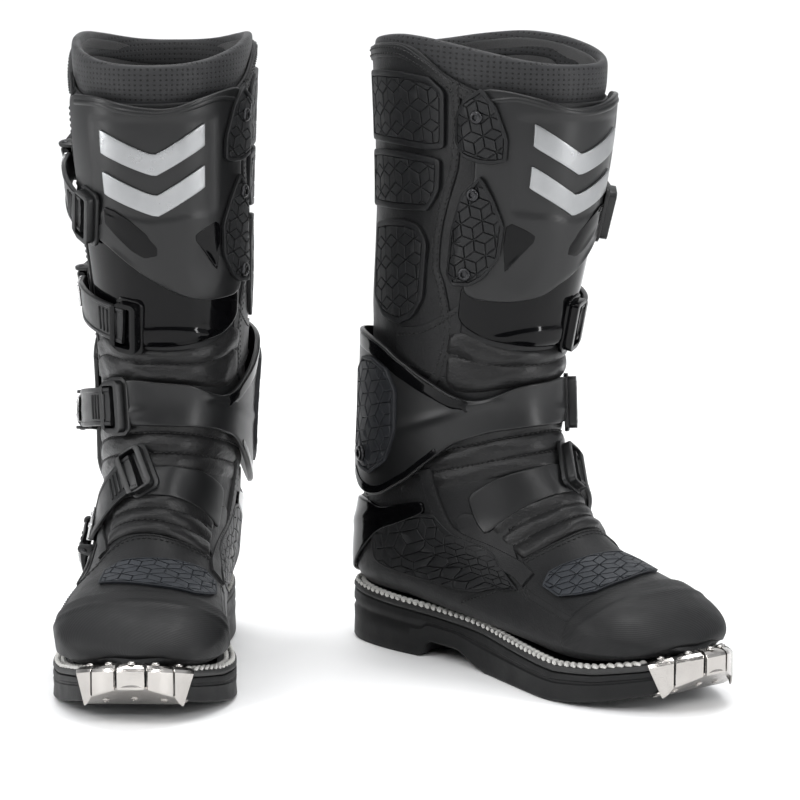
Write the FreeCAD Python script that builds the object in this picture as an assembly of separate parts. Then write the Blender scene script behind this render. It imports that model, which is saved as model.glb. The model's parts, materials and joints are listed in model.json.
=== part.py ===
"""A pair of adult motocross riding boots, standing side by side on the floor.

Each boot is built once, as the right boot, in its own frame: x runs forward from the back of the heel,
y towards the inner (medial) side, z up from the floor, in millimetres. It is then set down in the
pair's frame, and the left boot is its mirror image. The pair's origin is on the floor, at the middle
of the pair's box. Seen from -Y, the right boot stands on the left with its toe towards -Y, and the
left boot stands on the right, turned out.

The leather form is a stack of cross-sections from the rim, down the shaft, round the ankle and along
the foot to the toe. A place on it is (s, phi, off): s is the distance down the centre line from the
rim, phi goes round the section, 0 in front or on top, 90 on the inner side, 180 behind or below, and
off is how far outside the leather's outer face the point lies.
"""
import FreeCAD
import Part
import math
import os
from FreeCAD import Matrix, Placement, Rotation, Vector

# Where each boot stands: the heel's place on the floor and the turn of the toe from -Y, in degrees.
RIGHT_PLACE = {"x": -135.9, "y": 158.1, "yaw": -2.0}
LEFT_PLACE = {"x": -7.9, "y": 124.1, "yaw": 40.0}

# Sections: front/top point (x, z), back/bottom point (x, z), half width, centre y, and the power
# of the superellipse in its front/top half and in its back/bottom half.
SECTIONS = [
    (200, 376, 25, 386, 57, 0, 2.2, 2.2),
    (196, 332, 27, 338, 55, 0, 2.2, 2.2),
    (188, 288, 28, 288, 52, 1, 2.2, 2.2),
    (178, 243, 26, 238, 49, 3, 2.2, 2.2),
    (168, 204, 23, 190, 46, 3, 2.2, 2.2),
    (163, 172, 18, 146, 44, 2, 2.2, 2.2),
    (167, 146, 12, 108, 43, 1, 2.2, 2.3),
    (176, 127, 4, 66, 42, 0, 2.1, 2.7),
    (187, 111, 10, 38, 41, -1, 2.0, 3.2),
    (200, 95, 70, 33, 41, -2, 2.0, 4.0),
    (216, 83, 130, 30, 43, -2, 2.0, 4.5),
    (236, 74, 185, 26, 48, -3, 2.0, 4.5),
    (259, 66, 232, 23, 50, -2, 2.1, 4.5),
    (280, 56, 264, 26, 45, -1, 2.1, 4.0),
    (294, 45, 287, 31, 31, 0, 2.1, 3.0),
    (300, 38, 298, 34, 10, 0, 2.0, 2.0),
]

# Layers of the leather form, as offsets from its outer face.
LEATHER = 3.0
LINER_GAP = 0.4
LINER = 6.0
FOOT_WALL = 5.0
SHAFT_END = 223.0
FOOT_START = 258.0
FOOT_FRONT_HEIGHT = 134.0
TOE_END = 517.0

# Side profiles (x, z) of the top edge of the liner and of the leather shaft.
RIM = [(-30, 383), (20, 387), (60, 394), (100, 396), (150, 389), (200, 377), (240, 366)]
SHAFT_EDGE = [(-30, 380), (20, 384), (70, 390), (105, 388), (135, 372), (165, 361), (200, 356), (240, 352)]

# Ankle hinge, in the boot's frame.
ANKLE_X = 66.0
ANKLE_Z = 130.0

# Sole.
WELT = 4.0
WELT_GAP = 0.3
HEEL_BREAST = 88.0
ARCH_HEIGHT = 11.0
TREAD_DEPTH = 3.0
SOLE_LENGTH = 315.0
TOE_CENTRE = 262.0
TOE_RIVETS = [(292, 29.5), (303, 16.5), (307.5, -0.5), (303, -17.5), (292, -30.5)]

# Buckles: strap and lever sizes.
STRAP_WIDTH = 24.0
STRAP_THICK = 3.2
LEVER_LENGTH = 37.0
LEVER_WIDTH = 20.0
PIN_RADIUS = 1.6
PIN_CLEARANCE = 0.05
PIN_HEIGHT = 8.0

# Each strap: (s, phi) of its buckle's hinge pin and of its receiver, the height off the leather that
# the buckle stands on, and the height of the plate that the receiver is moulded on.
STRAPS = {
    1: {"buckle": (66, -100), "receiver": (94, -44), "stand": 2.3, "seat": 5.6},
    2: {"buckle": (146, -100), "receiver": (168, -22), "stand": 2.3, "seat": 2.7},
    3: {"buckle": (228, -98), "receiver": (229, -33), "stand": 8.6, "seat": 5.2},
    4: {"buckle": (322, -76), "receiver": (285, -14), "stand": 0.5, "seat": 3.1},
}
STRAP_RISE = 2.9
STRAP_GAP = 9.5


# ------------------------------------------------------------------ the leather form

def spine():
    """Distance down the centre line at each section."""
    found = [0.0]
    for before, after in zip(SECTIONS, SECTIONS[1:]):
        dx = (after[0] + after[2] - before[0] - before[2]) / 2
        dz = (after[1] + after[3] - before[1] - before[3]) / 2
        found.append(found[-1] + math.hypot(dx, dz))
    return found


SPINE = spine()


def between(keys, table, key):
    """Values at a key, by smooth interpolation down the columns of a table."""
    i = 0
    while i < len(keys) - 2 and key > keys[i + 1]:
        i += 1
    slopes = []
    for j in (i, i + 1):
        a, b = max(j - 1, 0), min(j + 1, len(keys) - 1)
        slopes.append([(q - p) / (keys[b] - keys[a]) for p, q in zip(table[a], table[b])])
    h = keys[i + 1] - keys[i]
    t = (key - keys[i]) / h
    if t < 0:
        return [value + rate * (key - keys[0]) for value, rate in zip(table[0], slopes[0])]
    h00, h10 = 2 * t ** 3 - 3 * t ** 2 + 1, t ** 3 - 2 * t ** 2 + t
    h01, h11 = 3 * t ** 2 - 2 * t ** 3, t ** 3 - t ** 2
    columns = zip(table[i], slopes[0], table[i + 1], slopes[1])
    return [h00 * p + h10 * h * m + h01 * q + h11 * h * n for p, m, q, n in columns]


def form(s, phi, off=0.0):
    """The point of the boot's form at (s, phi, off)."""
    fx, fz, bx, bz, half, middle, front_power, back_power = between(SPINE, SECTIONS, s)
    reach = math.hypot(fx - bx, fz - bz) / 2
    ux, uz = (fx - bx) / 2 / reach, (fz - bz) / 2 / reach
    c, n = math.cos(math.radians(phi)), math.sin(math.radians(phi))
    power = front_power if c > 0 else back_power
    along = math.copysign(abs(c) ** (2 / power), c) * (reach + off)
    across = math.copysign(abs(n) ** (2 / power), n) * (half + off)
    return Vector((fx + bx) / 2 + ux * along, middle + across, (fz + bz) / 2 + uz * along)


def normal(s, phi, off=0.0):
    """Outward direction at a place on the form."""
    along_s = form(s + 1, phi, off) - form(s - 1, phi, off)
    along_phi = form(s, phi + 1, off) - form(s, phi - 1, off)
    return along_s.cross(along_phi).normalize()


def ring_wire(s, off):
    """The closed outline of the form at distance s. Its points crowd evenly round the section."""
    count = 28
    points = [form(s, 360.0 * (i + 0.5) / count, off) for i in range(count)]
    curve = Part.BSplineCurve()
    curve.interpolate(points, PeriodicFlag=True)
    return Part.Wire([curve.toShape()])


def stations(start, end, step=12.0):
    """Distances from start to end, through the sections of the form, no more than a step apart."""
    knots = [start] + [s for s in SPINE if start + 2 < s < end - 2] + [end]
    found = []
    for a, b in zip(knots, knots[1:]):
        count = int(math.ceil((b - a) / step))
        found += [a + (b - a) * i / count for i in range(count)]
    return found + [end]


def tube(start, end, off, step=12.0):
    """The solid inside the form from start to end, swollen by off."""
    wires = [ring_wire(s, off) for s in stations(start, end, step)]
    return Part.makeLoft(wires, True, False)


def shell(start, end, outer, inner, step=12.0, reach=3.0):
    """A tube wall between two offsets, open at both ends."""
    return tube(start, end, outer, step).cut(tube(start - reach, end + reach, inner, step))


def curve_through(points):
    curve = Part.BSplineCurve()
    curve.interpolate(points)
    return curve.toShape()


def thick_patch(top_grid, low_grid):
    """The closed solid between two four-sided surfaces."""
    surfaces = []
    for grid in (top_grid, low_grid):
        surface = Part.BSplineSurface()
        surface.interpolate(grid)
        surfaces.append(surface)
    sides = []
    for end in (0, 1):
        sides.append([s.uIso(s.bounds()[end]).toShape() for s in surfaces])
        sides.append([s.vIso(s.bounds()[2 + end]).toShape() for s in surfaces])
    faces = [s.toShape() for s in surfaces] + [Part.makeRuledSurface(a, b) for a, b in sides]
    wall = Part.Shell(faces)
    wall.sewShape()
    solid = Part.Solid(wall)
    if solid.Volume < 0:
        solid.reverse()
    return solid


def slab(sections, inner, outer, spans=5, rows=9):
    """A panel that lies on the form between two offsets, with sections (phi, s_from, s_to[, lift])."""
    keys = [section[0] for section in sections]
    table = [list(section[1:]) + [0.0] * (4 - len(section)) for section in sections]
    if keys[0] > keys[-1]:
        keys, table = keys[::-1], table[::-1]
    grids = []
    for off in (outer, inner):
        grid = []
        for row in range(rows):
            phi = keys[0] + (keys[-1] - keys[0]) * row / (rows - 1)
            start, end, lift = between(keys, table, phi)
            places = [start + (end - start) * i / spans for i in range(spans + 1)]
            grid.append([form(s, phi, off + lift) for s in places])
        grids.append(grid)
    return thick_patch(*grids)


def girdle(sections, inner, outer, spans=8):
    """A panel that goes round the form: a loft through sections (s, phi_from, phi_to)."""
    wires = []
    for s, phi_from, phi_to in sections:
        places = [phi_from + (phi_to - phi_from) * i / spans for i in range(spans + 1)]
        top = [form(s, phi, outer) for phi in places]
        low = [form(s, phi, inner) for phi in places]
        wires.append(Part.Wire([
            curve_through(top),
            Part.makeLine(top[-1], low[-1]),
            curve_through(low[::-1]),
            Part.makeLine(low[0], top[0]),
        ]))
    return Part.makeLoft(wires, True, False)


# ------------------------------------------------------------------ local frames and small hardware

def stand(s, phi, off, towards):
    """Placement of a piece on the form: local x runs round the form towards another place, z points out."""
    origin = form(s, phi, off)
    out = normal(s, phi, off)
    aim = form(towards[0], towards[1], off) - origin
    across = out.cross(aim).normalize()
    along = across.cross(out).normalize()
    m = Matrix(along.x, across.x, out.x, origin.x,
               along.y, across.y, out.y, origin.y,
               along.z, across.z, out.z, origin.z,
               0, 0, 0, 1)
    return Placement(m)


def block(x0, x1, y0, y1, z0, z1):
    return Part.makeBox(x1 - x0, y1 - y0, z1 - z0, Vector(x0, y0, z0))


def rod(x, y0, y1, z, radius):
    """A round bar along local y."""
    return Part.makeCylinder(radius, y1 - y0, Vector(x, y0, z), Vector(0, 1, 0))


def at(shape, placement):
    moved = shape.copy()
    moved.Placement = placement.multiply(shape.Placement)
    return moved


def screw(s, phi, off, head_radius, head_height=1.6):
    """A pan-head screw or rivet standing on the form."""
    out = normal(s, phi, off)
    origin = form(s, phi, off)
    head = Part.makeCone(head_radius, head_radius * 0.75, head_height, origin, out)
    middle = origin + out * head_height * 0.5
    hex_recess = Part.makeCylinder(head_radius * 0.35, head_height * 0.6, middle, out)
    return head.cut(hex_recess)


# ------------------------------------------------------------------ buckle, lever and strap

def buckle_placement(number):
    strap = STRAPS[number]
    s, phi = strap["buckle"]
    return stand(s, phi, strap["stand"], strap["receiver"])


def buckle_base(number):
    """Riveted base with two ears, and its hinge pin."""
    half = LEVER_WIDTH / 2
    base = block(-18, 8, -half - 2.6, half + 2.6, 0.6, 3.0)
    for side in (-1, 1):
        y0, y1 = sorted((side * (half + 0.4), side * (half + 2.6)))
        ear = block(-4.2, 4.2, y0, y1, 2.6, PIN_HEIGHT).fuse(rod(0, y0, y1, PIN_HEIGHT, 4.2))
        base = base.fuse(ear)
    pin = rod(0, -half - 2.8, half + 2.8, PIN_HEIGHT, PIN_RADIUS)
    place = buckle_placement(number)
    return [at(base.removeSplitter().cut(pin), place), at(pin, place)]


def lever(number):
    """Over-centre lever that lies back round the leg, with a bored hub and a thumb end that dips."""
    half = LEVER_WIDTH / 2
    z = PIN_HEIGHT
    side = [(3.2, z - 2.4), (3.2, z + 3.0), (-13, z + 3.0), (-26, z + 0.4), (-LEVER_LENGTH, z - 3.0),
            (-LEVER_LENGTH - 1, z - 5.4), (-26, z - 3.6), (-13, z - 4.2), (-6, z - 4.2)]
    points = [Vector(x, -half, height) for x, height in side]
    body = Part.Face(Part.makePolygon(points + points[:1])).extrude(Vector(0, LEVER_WIDTH, 0))
    body = body.fuse(rod(0, -half, half, z, 3.4))
    body = body.cut(rod(0, -half - 1, half + 1, z, PIN_RADIUS + PIN_CLEARANCE))
    window = block(-24, -8, -half + 4, half - 4, z - 8, z + 6)
    return at(body.cut(window).removeSplitter(), buckle_placement(number))


def strap_places(number, count=7):
    """(s, phi) places down the middle of a strap, from its receiver end to its hooked end."""
    strap = STRAPS[number]
    (s0, phi0), (s1, phi1) = strap["receiver"], strap["buckle"]
    whole = form(s0, phi0).distanceToPoint(form(s1, phi1))
    share = 1 - STRAP_GAP / whole
    steps = [share * i / (count - 1) for i in range(count)]
    return [(s0 + (s1 - s0) * t, phi0 + (phi1 - phi0) * t) for t in steps]


def strap_band(number):
    """Polyurethane strap: a flat band that follows the form, with a steel hook plate on its free end."""
    strap = STRAPS[number]
    places = strap_places(number)
    wires = []
    for i, (s, phi) in enumerate(places):
        share = i / (len(places) - 1)
        height = strap["seat"] + STRAP_RISE + (strap["stand"] + 3.2 - strap["seat"] - STRAP_RISE) * share
        before, after = places[max(i - 1, 0)], places[min(i + 1, len(places) - 1)]
        middle = form(s, phi, height)
        run = form(*after, height) - form(*before, height)
        out = normal(s, phi, height)
        across = out.cross(run).normalize() * (STRAP_WIDTH / 2)
        out = out * STRAP_THICK
        corners = [middle - across, middle + across, middle + across + out, middle - across + out]
        wires.append(Part.makePolygon(corners + corners[:1]))
    band = Part.makeLoft(wires, True, False)
    hook_place = stand(*places[-1], strap["stand"] + 3.2 + STRAP_THICK + 0.1, strap["receiver"])
    hook = block(-1.5, 14, -STRAP_WIDTH / 2 + 2, STRAP_WIDTH / 2 - 2, 0.0, 1.6)
    return [band, at(hook, hook_place)]


def receiver_placement(number):
    strap = STRAPS[number]
    return stand(*strap["receiver"], strap["seat"], strap_places(number)[2])


def receiver(number):
    """Ladder-lock frame that the strap starts from: a floor, two rails and a bar behind the strap's end."""
    wide = STRAP_WIDTH / 2 + 1.3
    frame = block(-9, 5, -wide - 3, wide + 3, -1.0, 1.2)
    frame = frame.fuse([block(-9, 5, -wide - 3, -wide, 1.2, 6.4), block(-9, 5, wide, wide + 3, 1.2, 6.4)])
    frame = frame.fuse(block(-9, -4, -wide, wide, 1.2, 6.4))
    return at(frame.removeSplitter(), receiver_placement(number))


def with_receiver(plate, number, underside):
    """A plate and its strap's receiver in one moulding, flush with the plate's underside."""
    s = STRAPS[number]["receiver"][0]
    return plate.fuse(receiver(number).cut(tube(s - 40, s + 40, underside))).removeSplitter()


# ------------------------------------------------------------------ sole

def feather(x):
    """Height of the upper's bottom edge above the floor at x."""
    line = [(0, 38), (40, 35), (90, 32.5), (140, 29.5), (190, 25.5), (232, 23), (262, 25), (290, 30),
            (318, 37)]
    for (x0, z0), (x1, z1) in zip(line, line[1:]):
        if x <= x1:
            return z0 + (z1 - z0) * (x - x0) / (x1 - x0)
    return line[-1][1]


def sole_outline(grow=0.0):
    """The sole's plan outline as a closed curve, grown outwards."""
    half = [(0, 0, 0), (6, 22, -22), (26, 34, -35), (60, 38, -40), (105, 35, -42), (145, 36, -47),
            (185, 45, -54), (222, 53, -58), (250, 52, -54), (275, 43, -44), (296, 30, -31), (310, 14, -15),
            (SOLE_LENGTH, 0, 0)]
    inner = [Vector(x, y, 0) for x, y, _ in half]
    outer = [Vector(x, y, 0) for x, _, y in half[1:-1]]
    points = inner + outer[::-1]
    grown = []
    for i, p in enumerate(points):
        t = points[(i + 1) % len(points)] - points[i - 1]
        out = Vector(-t.y, t.x, 0).normalize()
        grown.append(p + out * grow)
    curve = Part.BSplineCurve()
    curve.interpolate(grown, PeriodicFlag=True)
    return Part.Face(Part.Wire([curve.toShape()]))


def column(grow=0.0):
    """Everything above and below the sole's outline."""
    face = sole_outline(grow)
    return face.extrude(Vector(0, 0, 90)).translate(Vector(0, 0, -10))


def profile_solid(top, bottom, wide=80.0):
    """A solid across the boot between two side profiles, each a list of (x, z)."""
    points = [Vector(x, -wide, z) for x, z in top] + [Vector(x, -wide, z) for x, z in bottom[::-1]]
    return Part.Face(Part.makePolygon(points + points[:1])).extrude(Vector(0, 2 * wide, 0))


def sole_bottom(drop=0.0):
    """The tread's side profile: heel block, arch and a forefoot that turns up at the toe."""
    line = [(-12, 0), (HEEL_BREAST, 0), (HEEL_BREAST + 6, ARCH_HEIGHT), (122, ARCH_HEIGHT - 1), (138, 3),
            (150, 0), (226, 0), (250, 3.5), (274, 9.5), (298, 17), (326, 27)]
    return [(x, z - drop) for x, z in line]


def top_line(drop):
    return [(x, feather(x) - drop) for x in (-12, 0, 40, 90, 140, 190, 232, 262, 290, 318, 326)]


def outsole():
    """Rubber outsole with heel block, arch and cross-cut tread."""
    body = profile_solid(top_line(WELT + 2 * WELT_GAP), sole_bottom()).common(column())
    grooves = []
    for x in list(range(14, 84, 14)) + list(range(160, 226, 13)):
        grooves.append(block(x, x + 3.5, -80, -12, -1, TREAD_DEPTH))
        grooves.append(block(x, x + 3.5, 12, 80, -1, TREAD_DEPTH))
    body = body.cut(Part.makeCompound(grooves))
    heel_hollow = block(22, 78, -9, 9, -1, TREAD_DEPTH)
    return body.cut(heel_hollow)


def welt():
    """Stitched welt: a strip round the sole's edge, under the upper."""
    layer = profile_solid(top_line(WELT_GAP), top_line(WELT + WELT_GAP))
    return layer.common(column()).cut(column(-16.0)).cut(tube(FOOT_START, TOE_END, 0.2))


def toe_plate():
    """Steel toe clip: wraps over the sole's front edge, over the welt and under the toe."""
    gap, steel, start = 0.3, 1.3, 288.0
    outer = profile_solid(top_line(-gap - steel - WELT_GAP), sole_bottom(gap + steel))
    outer = outer.common(column(gap + steel))
    inner = profile_solid(top_line(-gap), sole_bottom(gap)).common(column(gap))
    cap = outer.cut(inner).common(block(start, 340, -80, 80, -20, 80))
    cap = cap.cut(column(-9.0).common(block(0, 400, -80, 80, 28, 90))).cut(block(200, 292, -80, 80, -5, 17))
    for (xa, ya), (xb, yb) in zip(TOE_RIVETS, TOE_RIVETS[1:]):
        x, y = (xa + xb) / 2, (ya + yb) / 2
        slot = block(-20, 20, -1.5, 1.5, feather(x) - 2.0, 60)
        slot.rotate(Vector(0, 0, 0), Vector(0, 0, 1), math.degrees(math.atan2(y, x - TOE_CENTRE)))
        slot.translate(Vector(x, y, 0))
        cap = cap.cut(slot)
    return cap


def toe_screws():
    """Rivets in the clip's five upper tabs, and screws in its lower flange."""
    found = []
    for x, y in TOE_RIVETS:
        rise = feather(x + 1) - feather(x)
        base = Vector(x, y, feather(x) + 1.95)
        found.append(Part.makeCone(2.3, 1.6, 1.4, base, Vector(-rise, 0, 1)))
    for y in (-16, 0, 16):
        z = 16.0
        found.append(Part.makeCone(2.6, 2.0, 1.2, Vector(300, y, z), Vector(10, 0, -28)))
    return found


# ------------------------------------------------------------------ lower boot

def foot_upper():
    """Leather and foam foot, closed at the toe, open at the ankle, and lower in front of the leg."""
    wall = tube(FOOT_START, TOE_END, 0.0).cut(tube(FOOT_START - 4, TOE_END - 14, -FOOT_WALL))
    return wall.cut(block(60, 240, -90, 90, FOOT_FRONT_HEIGHT, 240))


def shankboard():
    """Insole board inside the foot, and the steel shank below it, between upper and outsole."""
    board = girdle([(s, 152, 208) for s in (318, 345, 385, 425, 462, 486)],
                   -FOOT_WALL - 3.0, -FOOT_WALL - 0.6)
    shank = girdle([(s, 173, 187) for s in (330, 350, 372, 395)], 0.6, 2.2, spans=4)
    return [board, shank]


def toe_guard():
    """Fine-textured rubber cap over the toe box."""
    rows = [(450, 99), (464, 101), (478, 102), (490, 103), (501, 103), (509, 102)]
    return girdle([(s, -a, a) for s, a in rows], 0.4, 2.4, spans=12)


def foot_pads():
    """Gear-shift pad on top of the foot and the grip panel on its inner side, both rubber."""
    shift = girdle([(388, -18, 44), (398, -27, 56), (412, -31, 62), (428, -30, 62), (442, -22, 50)],
                   0.5, 3.6)
    grip = slab([(66, 332, 346), (72, 312, 368), (79, 293, 394), (88, 289, 386), (96, 288, 360),
                 (104, 287, 322), (112, 286, 304)], 0.5, 2.6)
    return [shift, grip]


def heel_cup():
    """Glossy counter round the back of the heel, with a brow on each side under the ankle."""
    return slab([(84, 283, 290), (94, 280, 291), (106, 278, 291), (120, 272, 296), (140, 268, 302),
                 (180, 266, 306), (220, 268, 302), (240, 272, 296), (254, 278, 291), (266, 280, 291), (276, 283, 290)],
                0.5, 3.0, rows=25)


def instep_plate():
    """Plate over the instep, moulded with the receiver of the lowest strap."""
    plate = slab([(-36, 283, 302), (-26, 280, 303), (0, 277, 303), (20, 277, 304), (40, 279, 309),
                  (60, 287, 321)], 1.0, 3.3, rows=21)
    return with_receiver(plate, 4, 1.1)


# ------------------------------------------------------------------ upper boot

def above(profile, wide=120.0):
    """Everything above a side profile."""
    top = [(profile[0][0], 460), (profile[-1][0], 460)]
    points = [Vector(x, -wide, z) for x, z in profile]
    edge = curve_through(points)
    corners = [points[-1], Vector(top[1][0], -wide, 460), Vector(top[0][0], -wide, 460), points[0]]
    wire = Part.Wire([edge] + Part.makePolygon(corners).Edges)
    return Part.Face(wire).extrude(Vector(0, 2 * wide, 0))


def shaft():
    """Leather shaft, high at the sides and back and lower behind the shin plate."""
    return shell(-14.0, SHAFT_END, 0.0, -LEATHER).cut(above(SHAFT_EDGE))


def liner():
    """Padded liner inside the shaft. Its perforated collar is the rim of the boot."""
    outer = LEATHER + LINER_GAP
    return shell(-24.0, SHAFT_END - 1.0, -outer, -outer - LINER).cut(above(RIM))


def bellows():
    """Soft ribbed leather that bridges the ankle between the shaft and the foot."""
    skirt = shell(SHAFT_END + 0.6, FOOT_START + 24.0, -0.4, -4.6, step=8.0)
    foot = tube(FOOT_START - 0.6, FOOT_START + 40.0, 3.0)
    return skirt.cut(foot.common(block(-60, 260, -90, 90, 0, FOOT_FRONT_HEIGHT + 0.6)))


def rubber_panels():
    """Moulded rubber panels: calf panels on both sides, and a pad on the ankle frame on each side."""
    found = []
    calf = [(74, 17, 54), (84, 10, 55), (100, 9, 54), (116, 10, 54), (130, 12, 54)]
    lower = [(74, 60, 84), (82, 59, 94), (100, 58, 94), (116, 58, 94), (130, 60, 94)]
    tail = [(77, 112, 150), (86, 101, 163), (98, 100, 166), (112, 101, 162), (124, 104, 150)]
    pad = [(92, 206, 238), (98, 196, 254), (108, 188, 257), (120, 184, 252), (130, 186, 244)]
    for panel in (calf, lower, tail):
        found.append(slab(panel, 0.4, 2.1))
    for panel in (calf, lower, tail):
        mirrored = [(-phi, a, b) for phi, a, b in panel if phi > 110]
        found.append(slab(mirrored, 0.4, 2.1))
    found.append(slab(pad, 8.6, 10.4))
    found.append(slab([(-phi, a, b) for phi, a, b in pad if phi > 118], 8.6, 10.4))
    return found


def ankle_frame():
    """Glossy exo-frame: a band over the instep, a wing on each side of the ankle and a bridge behind it."""
    rows = [(-42, 212, 241, 0), (-20, 209, 243, 0), (0, 211, 244, 0), (20, 213, 244, 0), (40, 219, 244, 0),
            (52, 219, 245, 0.5), (62, 214, 248, 1), (72, 206, 254, 1.5), (82, 198, 261, 2.2),
            (92, 189, 268, 2.8), (103, 180, 271, 3), (118, 174, 266, 3), (132, 171, 256, 3), (150, 170, 244, 3),
            (180, 172, 238, 3), (210, 170, 244, 3), (228, 171, 256, 3), (242, 174, 266, 3), (254, 180, 268, 3),
            (262, 188, 264, 3)]
    return with_receiver(slab(rows, 2.6, 5.4, rows=29), 3, 2.7)


def shaft_fittings():
    """The three upper buckle bases with their hinge pins, and the two ankle screws."""
    screws = [screw(245, 118, 10.5, 4.6), screw(245, -122, 10.5, 4.6)]
    return buckle_base(1) + buckle_base(2) + buckle_base(3) + screws


# ------------------------------------------------------------------ front flap

def shin_brackets():
    """Two textured rubber brackets that run from the shaft's inner side up over the shin plate's edge."""
    drop = -5.7
    upper = [(71, 32, 48, drop), (65, 20, 57), (57, 13, 60), (50, 24, 60), (44, 44, 58)]
    lower = [(71, 104, 132, drop), (65, 80, 139), (56, 68, 139), (49, 82, 134), (42, 100, 120)]
    return [slab(rows, 6.4, 8.9, rows=13) for rows in (upper, lower)]


def bracket_screws():
    """The three screws of the shin plate's brackets."""
    return [screw(s, phi, 9.45, 4.0) for s, phi in ((31, 59), (80, 59), (131, 59))]


def shin_plate():
    """Moulded shin plate with the receiver of the top strap."""
    rows = [(60, 13, 146), (45, 14, 149), (28, 18, 150), (12, 23, 146), (0, 23, 138), (-15, 20, 126),
            (-30, 17, 114), (-44, 17, 106), (-55, 18, 98)]
    return with_receiver(slab(rows, 3.2, 5.8, rows=13), 1, 3.3)


def mid_plate():
    """Lower front plate, tucked under the shin plate, with the receiver of the second strap."""
    rows = [(60, 138, 164), (45, 136, 175), (20, 132, 182), (0, 124, 184), (-20, 112, 182), (-40, 101, 172),
            (-54, 96, 162)]
    return with_receiver(slab(rows, 0.6, 2.9), 2, 0.7)


def emblem():
    """Plain brushed badge on the shin plate: two nested chevrons, no mark of any maker."""
    found = []
    for rise in (0, 27):
        for arm in (((3, 52, 67), (16, 43, 58), (30, 34, 49)), ((2, 52, 67), (-12, 45, 60), (-26, 38, 53))):
            found.append(slab([(phi, a + rise, b + rise) for phi, a, b in arm], 5.9, 6.8))
    return found


# ------------------------------------------------------------------ the pair

def boot_parts():
    """Every sub-part of the right boot, as lists of solids in the boot's own frame."""
    parts = {
        "outsole": [outsole()],
        "welt": [welt()],
        "shankboard": shankboard(),
        "foot_upper": [foot_upper()],
        "toe_guard": [toe_guard()],
        "toe_plate": [toe_plate()],
        "toe_screws": toe_screws(),
        "foot_pads": foot_pads(),
        "heel_cup": [heel_cup()],
        "instep_plate": [instep_plate()],
        "instep_buckle_base": buckle_base(4),
        "shaft": [shaft()],
        "liner": [liner()],
        "ankle_bellows": [bellows()],
        "rubber_panels": rubber_panels(),
        "ankle_frame": [ankle_frame()],
        "shin_brackets": shin_brackets(),
        "bracket_screws": bracket_screws(),
        "shaft_fittings": shaft_fittings(),
        "shin_plate": [shin_plate()],
        "mid_plate": [mid_plate()],
        "emblem": emblem(),
    }
    for number in STRAPS:
        parts[f"strap_{number}"] = strap_band(number)
        parts[f"lever_{number}"] = [lever(number)]
    return parts


def boot_placement(place):
    """Carries the boot's frame into the pair's frame."""
    turn = Rotation(Vector(0, 0, 1), place["yaw"] - 90)
    return Placement(Vector(place["x"], place["y"], 0), turn)


def main():
    os.makedirs("parts", exist_ok=True)
    for name, solids in boot_parts().items():
        whole = Part.makeCompound(solids)
        right = whole.copy()
        right.Placement = boot_placement(RIGHT_PLACE)
        right.exportStep(f"parts/right_{name}.step")
        left = whole.mirror(Vector(0, 0, 0), Vector(0, 1, 0))
        left.Placement = boot_placement(LEFT_PLACE).multiply(left.Placement)
        left.exportStep(f"parts/left_{name}.step")


if __name__ == "__main__":
    main()
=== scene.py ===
"""The looks of a pair of motocross riding boots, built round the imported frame.

Each piece is built once, as on the right boot, in the boot's own frame in millimetres: x forward from the
back of the heel, y towards the inner side, z up. It is then carried to both places, mirrored for the left.
A place on the leather form is (s, phi, off): the distance down the centre line from the rim, the angle
round the section (0 in front or on top, 90 on the inner side) and the height above the leather's face.
"""
import json
import math

import bmesh
import bpy
import numpy as np
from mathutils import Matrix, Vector


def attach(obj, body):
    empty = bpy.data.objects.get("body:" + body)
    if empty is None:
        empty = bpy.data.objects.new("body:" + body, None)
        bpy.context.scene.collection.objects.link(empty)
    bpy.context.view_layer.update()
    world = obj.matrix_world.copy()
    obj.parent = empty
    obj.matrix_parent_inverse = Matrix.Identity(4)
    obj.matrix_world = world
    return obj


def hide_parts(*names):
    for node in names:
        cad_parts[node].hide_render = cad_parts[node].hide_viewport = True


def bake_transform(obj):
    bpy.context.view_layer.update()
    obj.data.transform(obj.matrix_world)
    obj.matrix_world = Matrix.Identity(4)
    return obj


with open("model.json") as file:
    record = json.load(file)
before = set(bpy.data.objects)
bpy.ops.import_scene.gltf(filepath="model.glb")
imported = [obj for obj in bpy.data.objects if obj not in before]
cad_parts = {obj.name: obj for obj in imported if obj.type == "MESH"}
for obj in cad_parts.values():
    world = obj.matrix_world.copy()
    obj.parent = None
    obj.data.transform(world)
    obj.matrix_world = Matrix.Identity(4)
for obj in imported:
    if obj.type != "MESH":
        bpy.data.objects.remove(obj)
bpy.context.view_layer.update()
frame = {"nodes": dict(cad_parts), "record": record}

RECORD = frame["record"]
BODY_OF = {node: body for body, nodes in RECORD["behaviour"]["bodies"].items() for node in nodes}
SLOT_OF = {part["node"]: part["material_slot"] for part in RECORD["subparts"]}

# Where each boot stands: x, y and yaw of its frame in the pair's frame, and its hand.
PLACES = {"right": (-135.9, 158.1, -2.0, 1), "left": (-7.9, 124.1, 40.0, -1)}

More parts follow.
